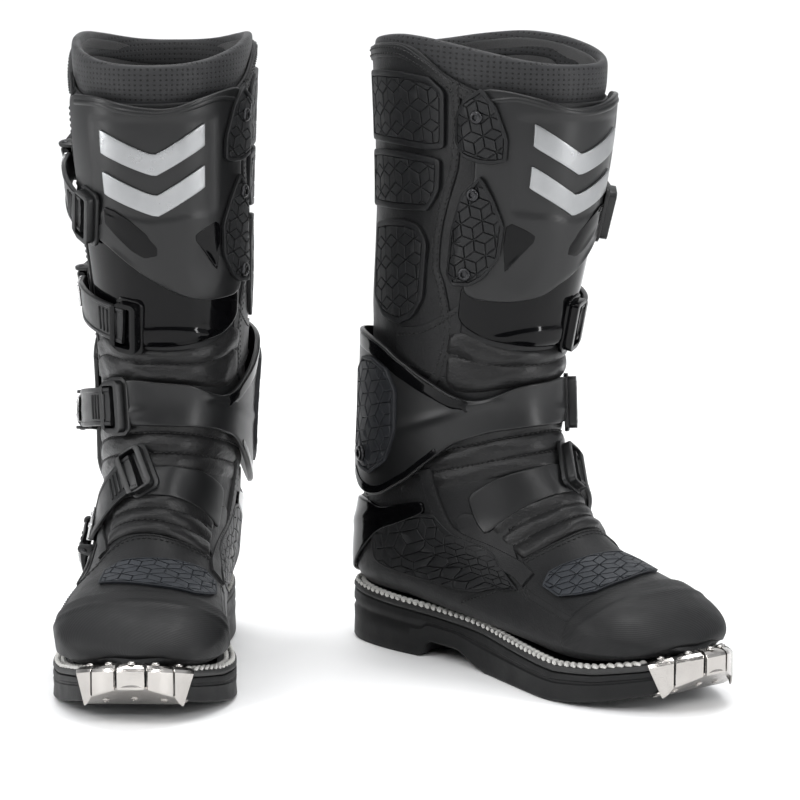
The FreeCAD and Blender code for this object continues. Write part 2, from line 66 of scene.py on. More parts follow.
# The leather form: front/top point (x, z), back/bottom point (x, z), half width, centre y, and the
# power of the superellipse in the front half and in the back half of each section.
SECTIONS = np.array([
    (200, 376, 25, 386, 57, 0, 2.2, 2.2),
    (196, 332, 27, 338, 55, 0, 2.2, 2.2),
    (188, 288, 28, 288, 52, 1, 2.2, 2.2),
    (178, 243, 26, 238, 49, 3, 2.2, 2.2),
    (168, 204, 23, 190, 46, 3, 2.2, 2.2),
    (163, 172, 18, 146, 44, 2, 2.2, 2.2),
    (167, 146, 12, 108, 43, 1, 2.2, 2.3),
    (176, 127, 4, 66, 42, 0, 2.1, 2.7),
    (187, 111, 10, 38, 41, -1, 2.0, 3.2),
    (200, 95, 70, 33, 41, -2, 2.0, 4.0),
    (216, 83, 130, 30, 43, -2, 2.0, 4.5),
    (236, 74, 185, 26, 48, -3, 2.0, 4.5),
    (259, 66, 232, 23, 50, -2, 2.1, 4.5),
    (280, 56, 264, 26, 45, -1, 2.1, 4.0),
    (294, 45, 287, 31, 31, 0, 2.1, 3.0),
    (300, 38, 298, 34, 10, 0, 2.0, 2.0),
], float)
RIM = [(-30, 383), (20, 387), (60, 394), (100, 396), (150, 389), (200, 377), (240, 366)]
SHAFT_EDGE = [(-30, 380), (20, 384), (70, 390), (105, 388), (135, 372), (165, 361), (200, 356), (240, 352)]
SHAFT_END = 223.0
FOOT_START = 262.0
TOE_END = 517.0

# Buckles: (s, phi) of the lever's hinge pin and of the strap's receiver, and the heights they stand on.
STRAPS = {
    1: {"buckle": (66, -100), "receiver": (94, -44), "stand": 2.3, "seat": 5.6},
    2: {"buckle": (146, -100), "receiver": (168, -22), "stand": 2.3, "seat": 2.7},
    3: {"buckle": (228, -98), "receiver": (229, -33), "stand": 8.6, "seat": 5.2},
    4: {"buckle": (322, -76), "receiver": (285, -14), "stand": 0.5, "seat": 3.1},
}
STRAP_WIDTH = 24.0
STRAP_THICK = 3.2
STRAP_RISE = 2.9
STRAP_GAP = 9.5
LEVER_WIDTH = 20.0
PIN_HEIGHT = 8.0
PIN_RADIUS = 1.6
EAR_RADIUS = 4.2
PATCH_TILT = -11    # degrees, so that the patch follows the lever's top

MM_PER_DEGREE = 0.95    # round the form, for laying out patterns


# -------------------- the leather form

def between(keys, table, at):
    """Values at some keys, by smooth interpolation down the columns of a table."""
    keys, table, at = np.asarray(keys, float), np.asarray(table, float), np.asarray(at, float)
    last = len(keys) - 1
    i = np.clip(np.searchsorted(keys, at) - 1, 0, last - 1)
    order = np.arange(len(keys))
    before, after = np.maximum(order - 1, 0), np.minimum(order + 1, last)
    slopes = (table[after] - table[before]) / (keys[after] - keys[before])[:, None]
    h = (keys[i + 1] - keys[i])[..., None]
    t = (at - keys[i])[..., None] / h
    smooth = 3 * t ** 2 - 2 * t ** 3
    value = (1 - smooth) * table[i] + smooth * table[i + 1]
    value = value + h * ((t ** 3 - 2 * t ** 2 + t) * slopes[i] + (t ** 3 - t ** 2) * slopes[i + 1])
    return np.where(t < 0, table[0] + slopes[0] * h * t, value)


_MIDDLE = (SECTIONS[:, 0:2] + SECTIONS[:, 2:4]) / 2
SPINE = np.concatenate([[0], np.cumsum(np.hypot(*np.diff(_MIDDLE, axis=0).T))])


def form(s, phi, off=0.0):
    """Points of the boot's form at places (s, phi, off)."""
    s, phi, off = np.broadcast_arrays(np.asarray(s, float), np.asarray(phi, float), np.asarray(off, float))
    fx, fz, bx, bz, half, middle, front, back = np.moveaxis(between(SPINE, SECTIONS, s), -1, 0)
    reach = np.hypot(fx - bx, fz - bz) / 2
    ux, uz = (fx - bx) / 2 / reach, (fz - bz) / 2 / reach
    c, n = np.cos(np.radians(phi)), np.sin(np.radians(phi))
    power = np.where(c > 0, front, back)
    along = np.sign(c) * np.abs(c) ** (2 / power) * (reach + off)
    across = np.sign(n) * np.abs(n) ** (2 / power) * (half + off)
    return np.stack([(fx + bx) / 2 + ux * along, middle + across, (fz + bz) / 2 + uz * along], axis=-1)


def unit(v):
    return v / np.maximum(np.linalg.norm(v, axis=-1, keepdims=True), 1e-9)


def cos_of(degrees):
    return math.cos(math.radians(degrees))


def sin_of(degrees):
    return math.sin(math.radians(degrees))


def outward(s, phi, off=0.0):
    """Outward direction at places on the form."""
    s, phi = np.asarray(s, float), np.asarray(phi, float)
    along_s = form(s + 1, phi, off) - form(s - 1, phi, off)
    along_phi = form(s, phi + 1, off) - form(s, phi - 1, off)
    return unit(np.cross(along_s, along_phi))


def edge_s(profile, phi, off=0.0):
    """Where the form meets a side profile: the distance s at each angle."""
    xs, zs = np.array(profile, float).T
    low, high = np.full(len(phi), -30.0), np.full(len(phi), 80.0)
    for _ in range(24):
        middle = (low + high) / 2
        p = form(middle, phi, off)
        above = p[:, 2] > between(xs, zs[:, None], p[:, 0])[:, 0]
        low, high = np.where(above, middle, low), np.where(above, high, middle)
    return (low + high) / 2


# -------------------- shapes

class Shape:
    """Points in the boot's frame in millimetres, the faces between them, and their places on the form."""

    def __init__(self):
        self.points, self.places, self.faces, self.count = [], [], [], 0

    def add(self, points, faces, places=None):
        points = np.asarray(points, float).reshape(-1, 3)
        places = points if places is None else np.asarray(places, float).reshape(-1, 3)
        self.points.append(points)
        self.places.append(places)
        self.faces += [tuple(i + self.count for i in face) for face in faces]
        self.count += len(points)
        return self

    def join(self, *others):
        for other in others:
            points, places = other.arrays()
            self.add(points, other.faces, places)
        return self

    def arrays(self):
        return np.concatenate(self.points), np.concatenate(self.places)

    def moved(self, matrix):
        points, places = self.arrays()
        moved = points @ matrix[:3, :3].T + matrix[:3, 3]
        return Shape().add(moved, self.faces, places)


def joined(shapes):
    return Shape().join(*shapes)


def quads(rows, columns, wrap=False):
    """Faces of a grid of points; with wrap, the last column joins the first."""
    found = []
    for i in range(rows - 1):
        for j in range(columns if wrap else columns - 1):
            a, b = i * columns + j, i * columns + (j + 1) % columns
            found.append((a, b, b + columns, a + columns))
    return found


def flipped(faces):
    return [face[::-1] for face in faces]


def rings(points, places=None, ends="caps"):
    """A closed solid through rings of points (rows, columns, 3), capped, or joined last to first."""
    points = np.asarray(points, float)
    rows, columns = points.shape[:2]
    flat = points.reshape(-1, 3)
    faces = quads(rows, columns, wrap=True)
    last = (rows - 1) * columns
    if ends == "wrap":
        faces += [(last + j, last + (j + 1) % columns, (j + 1) % columns, j) for j in range(columns)]
        return Shape().add(flat, faces, places)
    middles = np.array([points[0].mean(0), points[-1].mean(0)])
    a, b = len(flat), len(flat) + 1
    faces += [(a, (j + 1) % columns, j) for j in range(columns)]
    faces += [(b, last + j, last + (j + 1) % columns) for j in range(columns)]
    if places is not None:
        places = places.reshape(-1, 3)
        places = np.concatenate([places, places[:columns].mean(0)[None], places[-columns:].mean(0)[None]])
    return Shape().add(np.concatenate([flat, middles]), faces, places)


def crowded(length, near, step):
    """Distances from 0 to length: the near ones at both ends, and even steps between."""
    near = np.asarray(near, float)
    if near[-1] * 2 > length * 0.98:
        near = near * (length * 0.49 / near[-1])
    count = max(2, int(math.ceil((length - 2 * near[-1]) / step)) + 1)
    inner = np.linspace(near[-1], length - near[-1], count)
    return np.concatenate([near[:-1], inner, length - near[:-1][::-1]])


def rounded(outer, radius):
    """Edge profile (distance in, height) of a plate with a rounded edge."""
    return [(radius * (1 - cos_of(a)), outer - radius * (1 - sin_of(a))) for a in (0, 22, 45, 68, 90)]


def rimmed(outer, floor, width=2.6, radius=0.7):
    """Edge profile of a panel with a raised smooth border round a recessed floor."""
    edge = rounded(outer, radius)
    return edge + [(width - radius, outer), (width - 0.15, outer - 0.25), (width + 0.25, floor)]


def spaced(values, gap=0.08):
    """Sorted values, less those that lie too close to the one before."""
    found = []
    for value in sorted(values):
        if not found or value - found[-1] > gap:
            found.append(value)
    return found


def plate_grid(rows, profile, step, corner=0.0, linear=False):
    """Grid of places and edge distances over a panel with outline rows (phi, s_from, s_to[, lift])."""
    table = np.array(sorted([list(row) + [0.0] * (4 - len(row)) for row in rows]))
    keys, values = table[:, 0], table[:, 1:]
    middle = values[len(values) // 2, :2].mean()
    angles = np.linspace(keys[0], keys[-1], 40)
    path = form(middle, angles)
    degree = np.linalg.norm(np.diff(path, axis=0), axis=1).sum() / (keys[-1] - keys[0])
    near = spaced([d for d, _ in profile] + [corner * k for k in (0.02, 0.1, 0.25, 0.5, 1.0) if corner])
    across = crowded((keys[-1] - keys[0]) * degree, near, step)
    phi = keys[0] + across / degree
    if linear:
        outline = np.stack([np.interp(phi, keys, values[:, k]) for k in range(3)], axis=1)
    else:
        outline = between(keys, values, phi)
    start, end, lift = outline.T
    from_end = np.minimum(across, across[-1] - across)
    if corner:
        short = np.clip(corner - from_end, 0, corner)
        inset = corner - np.sqrt(np.maximum(corner ** 2 - short ** 2, 0))
        inset = np.minimum(inset, (end - start) * 0.35)
        start, end = start + inset, end - inset
    slant_a = np.sqrt(1 + np.clip(np.gradient(start, across), -3, 3) ** 2)
    slant_b = np.sqrt(1 + np.clip(np.gradient(end, across), -3, 3) ** 2)
    edge = np.array([d for d, _ in profile])
    inner_count = max(2, int(math.ceil((end - start).max() / step)) + 1)
    s_rows, d_rows = [], []
    for i in range(len(phi)):
        length = end[i] - start[i]
        squeeze = min(1.0, length * 0.98 / (edge[-1] * (slant_a[i] + slant_b[i])))
        first = start[i] + edge * slant_a[i] * squeeze
        last = end[i] - edge * slant_b[i] * squeeze
        inner = np.linspace(first[-1], last[-1], inner_count)
        s_rows.append(np.concatenate([first[:-1], inner, last[:-1][::-1]]))
        deep = np.minimum((inner - start[i]) / slant_a[i], (end[i] - inner) / slant_b[i])
        d_rows.append(np.concatenate([edge[:-1] * squeeze, deep, edge[:-1][::-1] * squeeze]))
    s = np.array(s_rows)
    distance = np.minimum(np.array(d_rows), from_end[:, None])
    return {"s": s, "phi": np.repeat(phi[:, None], s.shape[1], 1), "d": distance, "degree": degree,
            "lift": np.repeat(lift[:, None], s.shape[1], 1), "start": start, "end": end, "row_phi": phi}


def closed_sheet(top, low, places):
    """A closed solid between two grids of points that share their outline."""
    rows, columns = top.shape[:2]
    size = rows * columns
    faces = flipped(quads(rows, columns)) + [tuple(i + size for i in f) for f in quads(rows, columns)]
    rim = list(range(columns)) + [i * columns + columns - 1 for i in range(1, rows)]
    rim += [(rows - 1) * columns + j for j in range(columns - 2, -1, -1)]
    rim += [i * columns for i in range(rows - 2, 0, -1)]
    for a, b in zip(rim, rim[1:] + rim[:1]):
        faces.append((a, b, b + size, a + size))
    points = np.concatenate([top.reshape(-1, 3), low.reshape(-1, 3)])
    return Shape().add(points, faces, np.concatenate([places, places]).reshape(-1, 3))


def plate(rows, inner, profile, step=3.0, corner=0.0, relief=None, linear=False):
    """A moulded panel on the form, with an edge profile and a relief added to its outer face."""
    g = plate_grid(rows, profile, step, corner, linear)
    depths, heights = np.array(profile).T
    height = np.interp(g["d"], depths, heights) + g["lift"]
    if relief is not None:
        fade = np.clip((g["d"] - 0.5) / 2.5, 0, 1)
        height = height + relief(g["s"], g["phi"]) * fade
    top = form(g["s"], g["phi"], height)
    low = form(g["s"], g["phi"], inner + g["lift"])
    places = np.stack([g["phi"] * g["degree"], g["s"], height], axis=-1)
    return closed_sheet(top, low, places)


def bump(s, phi, s0, phi0, reach_s, reach_phi, power=2.0):
    """A smooth swelling of height 1 round a place."""
    r = np.abs((s - s0) / reach_s) ** power + np.abs((phi - phi0) / reach_phi) ** power
    return np.clip(1 - r, 0, 1) ** 1.5


def ridge(s, at, wide):
    """A smooth ridge of height 1 along a distance."""
    return np.exp(-((s - at) / wide) ** 2)


def step_up(value, at, wide):
    t = np.clip((value - at) / wide + 0.5, 0, 1)
    return t * t * (3 - 2 * t)


# -------------------- moulded rubber with a pattern of tiles

NARROWEST_FLOOR = 2.0
SHORTEST_SIDE = 0.25
SMALLEST_TILE = 7.0


def diamonds(x0, x1, y0, y1, size):
    """Diamonds that tile a rectangle like stacked cubes, each as one of three directions and its corners."""
    found = []
    wide = size * math.sqrt(3)
    for j in range(int((y1 - y0) / (1.5 * size)) + 3):
        for i in range(int((x1 - x0) / wide) + 3):
            cx = x0 + wide * (i - 1 + 0.5 * (j % 2))
            cy = y0 + 1.5 * size * (j - 1)
            ring = [(cx + size * cos_of(90 + 60 * k), cy + size * sin_of(90 + 60 * k)) for k in range(6)]
            for k in range(3):
                found.append((k, [(cx, cy), ring[2 * k], ring[(2 * k + 1) % 6], ring[(2 * k + 2) % 6]]))
    return found


def clipped(polygon, axis, limit, keep_above):
    """A polygon cut at one limit of one coordinate."""
    found = []
    for p, q in zip(polygon, polygon[1:] + polygon[:1]):
        inside_p = (p[axis] >= limit) == keep_above
        inside_q = (q[axis] >= limit) == keep_above
        if inside_p:
            found.append(p)
        if inside_p != inside_q:
            t = (limit - p[axis]) / (q[axis] - p[axis])
            found.append((p[0] + (q[0] - p[0]) * t, p[1] + (q[1] - p[1]) * t))
    return found


def shrunk(polygon, by):
    """A polygon with its sides moved in by a distance."""
    p = np.array(polygon)
    forward = unit(np.roll(p, -1, 0) - p)
    turn = np.stack([-forward[:, 1], forward[:, 0]], 1)
    area = np.cross(p, np.roll(p, -1, 0)).sum() / 2
    turn = turn if area > 0 else -turn
    before = np.roll(turn, 1, 0)
    mitre = (turn + before) / np.maximum(1 + (turn * before).sum(1), 0.35)[:, None]
    return p + mitre * by


def area_of(polygon):
    p = np.array(polygon)
    return abs(np.cross(p, np.roll(p, -1, 0)).sum() / 2) if len(p) > 2 else 0.0


def tile(polygon, lay, floor, top, groove=0.3, bevel=0.3):
    """A raised tile over a plane outline; lay carries (a, b) places and heights on to the form."""
    sunk = floor - 0.4
    base = shrunk(polygon, groove)
    crown = shrunk(polygon, groove + bevel)
    layers = [(base, sunk), (base, top - bevel), (crown, top), (np.mean(crown, axis=0)[None], top + 0.05),
              (np.mean(base, axis=0)[None], sunk)]
    plane = np.concatenate([p for p, _ in layers])
    heights = np.concatenate([np.full(len(p), h) for p, h in layers])
    n = len(base)
    faces = quads(3, n, wrap=True)
    faces += [(3 * n, 2 * n + j, 2 * n + (j + 1) % n) for j in range(n)]
    faces += [(3 * n + 1, (j + 1) % n, j) for j in range(n)]
    if np.cross(base, np.roll(base, -1, 0)).sum() < 0:
        faces = flipped(faces)
    return lay(plane, heights), faces


def kept_between(polygon, axis, low, high):
    """A polygon cut at both limits of one coordinate."""
    return clipped(clipped(polygon, axis, low, True), axis, high, False)


def fitted(polygon, first, last, limits):
    """A tile's outline cut to the panel's floor, or None where too little of it is left."""
    polygon = kept_between(polygon, 0, first, last)
    if len(polygon) < 3:
        return None
    a, b = np.array(polygon).T
    low, high = limits(a)
    if (high - low).min() < NARROWEST_FLOOR:
        return None
    level = kept_between(list(zip(a, (b - low) / (high - low))), 1, 0.0, 1.0)
    if len(level) < 3:
        return None
    a, share = np.array(level).T
    low, high = limits(a)
    cut = np.stack([a, low + (high - low) * share], 1)
    cut = cut[np.linalg.norm(cut - np.roll(cut, 1, 0), axis=1) > SHORTEST_SIDE]
    return cut if area_of(cut) >= SMALLEST_TILE else None


def tiled_panel(rows, inner, outer, floor, size=8.5, border=2.8, corner=5.0, tilt=0.0, step=3.0,
                lift_tiles=0.0):
    """A rubber panel: a raised border round a recessed floor that carries a pattern of tiles."""
    shape = plate(rows, inner, rimmed(outer, floor, border), step, corner, linear=True)
    g = plate_grid(rows, [(0, 0), (border, 0)], step, corner, linear=True)
    phi, degree, start, end = g["row_phi"], g["degree"], g["start"], g["end"]
    margin = border + 0.2

    def lay(plane, heights):
        angles = plane[:, 0] / degree
        return form(plane[:, 1], angles, heights + np.interp(angles, phi, g["lift"][:, 0]))

    def limits(a):
        return np.interp(a / degree, phi, start) + margin, np.interp(a / degree, phi, end) - margin

    first, last = phi[0] * degree + margin, phi[-1] * degree - margin
    ma, mb = (first + last) / 2, (start.min() + end.max()) / 2
    reach = max(last - first, end.max() - start.min())
    c, n = cos_of(tilt), sin_of(tilt)
    for kind, corners in diamonds(-reach, reach, -reach, reach, size):
        turned_by = [(ma + c * x - n * y, mb + n * x + c * y) for x, y in corners]
        fine = []
        for p, q in zip(turned_by, turned_by[1:] + turned_by[:1]):
            fine += [(p[0] + (q[0] - p[0]) * t, p[1] + (q[1] - p[1]) * t) for t in (0, 0.34, 0.67)]
        cut = fitted(fine, first, last, limits)
        if cut is not None:
            top = outer - 0.25 + lift_tiles + (0.0, 0.12, 0.24)[kind]
            points, faces = tile(cut, lay, floor, top)
            shape.add(points, faces, points * 0 + [kind * 100.0, 0, 0])
    return shape


# -------------------- paths on the form: stitches, strips, seams

def run_along(points):
    """Distance from the first point to each of a line's points."""
    return np.concatenate([[0], np.cumsum(np.linalg.norm(np.diff(points, axis=0), axis=1))])


def at_run(at, run, line):
    """The points of a line (n, 2) at some distances along it."""
    return np.stack([np.interp(at, run, line[:, k]) for k in (0, 1)], -1)


def path_on_form(places, off, spacing):
    """Evenly spaced (s, phi) places along a smooth path through a few given ones."""
    places = np.array(places, float)
    fine = np.linspace(0, len(places) - 1, 40 * (len(places) - 1) + 1)
    if len(places) > 2:
        dense = between(np.arange(len(places)), places, fine)
    else:
        dense = places[0] + (places[1] - places[0]) * fine[:, None]
    run = run_along(form(dense[:, 0], dense[:, 1], off))
    count = max(2, int(round(run[-1] / spacing)) + 1)
    return at_run(np.linspace(0, run[-1], count), run, dense)


def frames_along(path, off):
    """Points, forward, sideways and outward directions along a path on the form."""
    points = form(path[:, 0], path[:, 1], off)
    forward = unit(np.gradient(points, axis=0))
    side = unit(np.cross(outward(path[:, 0], path[:, 1]), forward))
    return points, forward, side, unit(np.cross(forward, side))


def capsules(middles, forward, side, out, length, thick, sides=6):
    """Small threads: one stitch at each middle."""
    stations = np.array([-1.0, -0.82, -0.35, 0.35, 0.82, 1.0]) * length / 2
    radii = np.array([0.12, 0.7, 1.0, 1.0, 0.7, 0.12]) * thick / 2
    sink = -np.array([1.0, 0.5, 0.0, 0.0, 0.5, 1.0]) * thick * 0.45
    angles = np.linspace(0, 2 * math.pi, sides, endpoint=False)
    shape = Shape()
    m, k = len(stations), sides
    faces = quads(m, k, wrap=True) + [tuple(range(k))[::-1], tuple((m - 1) * k + j for j in range(k))]
    for p, f, w, o in zip(middles, forward, side, out):
        ring = np.cos(angles)[None, :, None] * w + np.sin(angles)[None, :, None] * o
        points = p + stations[:, None, None] * f + sink[:, None, None] * o + radii[:, None, None] * ring
        shape.add(points, faces)
    return shape


def stitches(places, off, pitch=3.6, length=2.6, thick=1.0):
    """A row of stitches along a path of (s, phi) places."""
    path = path_on_form(places, off, pitch)
    return capsules(*frames_along(path, off + thick * 0.2), length, thick)


def double_stitches(places, off, gap=2.2):
    """Two rows of stitches side by side along a path."""
    path = path_on_form(places, off, 6.0)
    side = frames_along(path, off)[2]
    return joined([stitches(shift_path(path, side, share * gap), off) for share in (-0.5, 0.5)])


def shift_path(path, side, by, step=0.5):
    """A path on the form moved sideways by a distance."""
    along_s = (form(path[:, 0] + step, path[:, 1]) - form(path[:, 0] - step, path[:, 1])) / (2 * step)
    along_phi = (form(path[:, 0], path[:, 1] + step) - form(path[:, 0], path[:, 1] - step)) / (2 * step)
    found = []
    for i in range(len(path)):
        basis = np.stack([along_s[i], along_phi[i]], 1)
        move = np.linalg.lstsq(basis, side[i] * by, rcond=None)[0]
        found.append((path[i, 0] + move[0], path[i, 1] + move[1]))
    return found


def strip(places, off, width, height, step=2.5, crown=0.25):
    """A raised band along a path of (s, phi) places."""
    points, _, side, out = frames_along(path_on_form(places, off, step), off)
    h = width / 2
    half = [(h, -0.3), (h, height * 0.6), (h - 0.5, height), (h * 0.4, height + crown * 0.8)]
    section = [(-a, b) for a, b in half] + [(0, height + crown)] + half[::-1]
    return rings(np.stack([points + side * a + out * b for a, b in section], axis=1))


# -------------------- small hardware in local frames

def matrix_of(x, y, z, origin=(0, 0, 0)):
    """The matrix of a local frame."""
    matrix = np.eye(4)
    matrix[:3, 0], matrix[:3, 1], matrix[:3, 2], matrix[:3, 3] = x, y, z, origin
    return matrix


def shift(x, y, z=0.0):
    return matrix_of((1, 0, 0), (0, 1, 0), (0, 0, 1), (x, y, z))


def stand(s, phi, off, towards):
    """Local frame of a piece on the form: x runs round the form towards another place, z points out."""
    origin = form(s, phi, off)
    out = outward(s, phi, off)
    across = unit(np.cross(out, form(towards[0], towards[1], off) - origin))
    return matrix_of(unit(np.cross(across, out)), across, out, origin)


def bevelled(points, faces, width, segments=2, angle=30.0):
    """A shape with its sharp edges rounded."""
    bm = bmesh.new()
    corners = [bm.verts.new(Vector(p)) for p in points]
    for face in faces:
        bm.faces.new([corners[i] for i in face])
    bmesh.ops.recalc_face_normals(bm, faces=bm.faces)
    sharp = [e for e in bm.edges if e.is_manifold and e.calc_face_angle(0) > math.radians(angle)]
    bmesh.ops.bevel(bm, geom=sharp, offset=width, segments=segments, profile=0.5, affect="EDGES",
                    clamp_overlap=True)
    bm.verts.index_update()
    shape = Shape().add([tuple(v.co) for v in bm.verts], [tuple(v.index for v in f.verts) for f in bm.faces])
    bm.free()
    return shape


def ends_and_walls(n):
    """Faces of a prism through two rings of n points."""
    walls = [(j, (j + 1) % n, n + (j + 1) % n, n + j) for j in range(n)]
    return [tuple(range(n)), tuple(range(n, 2 * n))] + walls


def prism(outline, low, high, width=0.5, axis="z"):
    """An outline of (a, b) points drawn out along an axis, with rounded edges."""
    points = []
    for level in (low, high):
        for a, b in outline:
            points.append((a, b, level) if axis == "z" else (a, level, b))
    return bevelled(points, ends_and_walls(len(outline)), width)


def rounded_rect(x0, x1, y0, y1, radius, steps=4):
    """Outline of a rectangle with round corners."""
    found = []
    for cx, cy, start in ((x1 - radius, y1 - radius, 0), (x0 + radius, y1 - radius, 90),
                          (x0 + radius, y0 + radius, 180), (x1 - radius, y0 + radius, 270)):
        for k in range(steps + 1):
            a = start + 90 * k / steps
            found.append((cx + radius * cos_of(a), cy + radius * sin_of(a)))
    return found


def mirrored(right, crest):
    """A closed section from its right half, lowest point first, and the point at its middle."""
    left = [(-a, b) for a, b in right[::-1]]
    return left[-1:] + right + [crest] + left[:-1]


def frame_ring(outer, inner, low, high, width=0.4):
    """A flat ring between two outlines with the same number of points, with rounded edges."""
    n = len(outer)
    points = [(x, y, z) for outline in (outer, inner) for z in (low, high) for x, y in outline]
    faces = []
    for j in range(n):
        k = (j + 1) % n
        faces += [(j, k, n + k, n + j), (2 * n + k, 2 * n + j, 3 * n + j, 3 * n + k)]
        faces += [(n + j, n + k, 3 * n + k, 3 * n + j), (k, j, 2 * n + j, 2 * n + k)]
    return bevelled(points, faces, width, 2, 50)


def turned(profile, sides=24, hex_from=None):
    """A round piece about local z, from (radius, z) points; the last of them may be a hex recess."""
    angles = np.linspace(0, 2 * math.pi, sides, endpoint=False)
    rows = []
    for i, (radius, z) in enumerate(profile):
        r = np.full(sides, float(radius))
        if hex_from is not None and i >= hex_from:
            sector = (angles + math.pi / 6) % (math.pi / 3) - math.pi / 6
            r = radius / np.cos(sector)
        rows.append(np.stack([r * np.cos(angles), r * np.sin(angles), np.full(sides, float(z))], 1))
    return rings(rows)


def pan_screw(radius, height):
    """A pan-head screw with a hexagon socket."""
    k = radius * 0.42
    head = [(radius * 0.96, -0.8), (radius, 0.1), (radius, height * 0.45), (radius * 0.9, height * 0.8)]
    socket = [(k * 1.15, height), (k, height - 0.15), (k * 0.98, height * 0.35)]
    return turned(head + [(radius * 0.7, height)] + socket, hex_from=6)


def pin(half, radius):
    """A pin along local y at the lever's hinge, with domed heads."""
    wide = radius * 1.25
    head = [(radius * 0.6, half + 0.5), (wide, half), (wide, half - 0.9), (radius, half - 0.9)]
    shape = turned([(r, -h) for r, h in head] + head[::-1], 20)
    return shape.moved(matrix_of((1, 0, 0), (0, 0, -1), (0, 1, 0), (0, 0, PIN_HEIGHT)))


def buckle_frame(number):
    strap = STRAPS[number]
    return stand(*strap["buckle"], strap["stand"], strap["receiver"])


def buckle_base(number):
    """Riveted base with two ears that carry the lever's pin."""
    half = LEVER_WIDTH / 2
    place = buckle_frame(number)
    base = prism(rounded_rect(-18, 8, -half - 2.6, half + 2.6, 4.0), 0.4, 3.0)
    arc = [(EAR_RADIUS * cos_of(a), PIN_HEIGHT + EAR_RADIUS * sin_of(a)) for a in range(0, 181, 20)]
    ears = [prism([(5.6, 2.4)] + arc + [(-6.0, 2.4)], y0, y1, 0.45, axis="y")
            for y0, y1 in ((-half - 2.6, -half - 0.5), (half + 0.5, half + 2.6))]
    rivets = [turned([(2.4, 2.8), (2.4, 3.3), (1.9, 3.9), (1.0, 4.1)], 16).moved(shift(-14.5, y))
              for y in (-7.5, 7.5)]
    return {"base": joined([base] + ears).moved(place),
            "steel": joined([pin(half + 2.8, PIN_RADIUS)] + rivets).moved(place)}


def lever(number):
    """Over-centre lever: a dished bar with ribs at its thumb end, pits over its pin and a silver patch."""
    z = PIN_HEIGHT
    xs = np.array([3.4, 1.5, -3, -8, -14, -20, -26, -31, -35, -37.4])
    top = z + np.array([2.0, 3.3, 3.8, 3.6, 3.0, 1.9, 0.4, -1.2, -2.7, -3.8])
    low = z - np.array([2.0, 3.2, 3.4, 3.0, 2.6, 2.8, 3.4, 4.4, 5.2, 5.2])
    half = np.array([9.4, 9.9, 9.9, 9.8, 9.5, 9.3, 9.4, 9.8, 9.6, 8.0])
    grid = []
    for x, t, b, w in zip(xs, top, low, half):
        r = min(1.6, (t - b) * 0.3)
        right = [(w - r, b), (w, b + r), (w, t - r), (w - r, t - 0.25), (w - 2.6, t)]
        grid.append([(x, y, height) for y, height in mirrored(right, (0, t - 0.5))])
    pieces = [rings(np.array(grid)[:, ::-1])]
    for x in (-29.5, -32.0, -34.5):
        t = np.interp(-x, -xs, top)
        pieces.append(prism(rounded_rect(x - 0.6, x + 0.6, -6.5, 6.5, 0.55, 2), t - 1.2, t + 0.35, 0.25))
    for x in (-4.5, -8.5):
        t = np.interp(-x, -xs, top)
        pit = turned([(1.15, t - 1.2), (1.15, t + 0.25), (0.9, t + 0.32), (0.75, t - 0.5)], 14)
        pieces += [pit.moved(shift(x, y)) for y in (-4.6, 0, 4.6)]
    patch = prism(rounded_rect(-22.5, -12.5, -6.2, 6.2, 1.6), z + 0.8, z + 3.35, 0.3)
    c, n = cos_of(PATCH_TILT), sin_of(PATCH_TILT)
    turn = matrix_of((c, 0, -n), (0, 1, 0), (n, 0, c))
    patch = patch.moved(shift(-17.5, 0, z + 2.6) @ turn @ shift(17.5, 0, -z - 2.6))
    place = buckle_frame(number)
    return {"body": joined(pieces).moved(place), "patch": patch.moved(place)}


def strap_places(number, count=25):
    strap = STRAPS[number]
    first, last = np.array(strap["receiver"], float), np.array(strap["buckle"], float)
    whole = np.linalg.norm(form(*first) - form(*last))
    share = 1 - STRAP_GAP / whole
    return np.array([first + (last - first) * share * i / (count - 1) for i in range(count)])


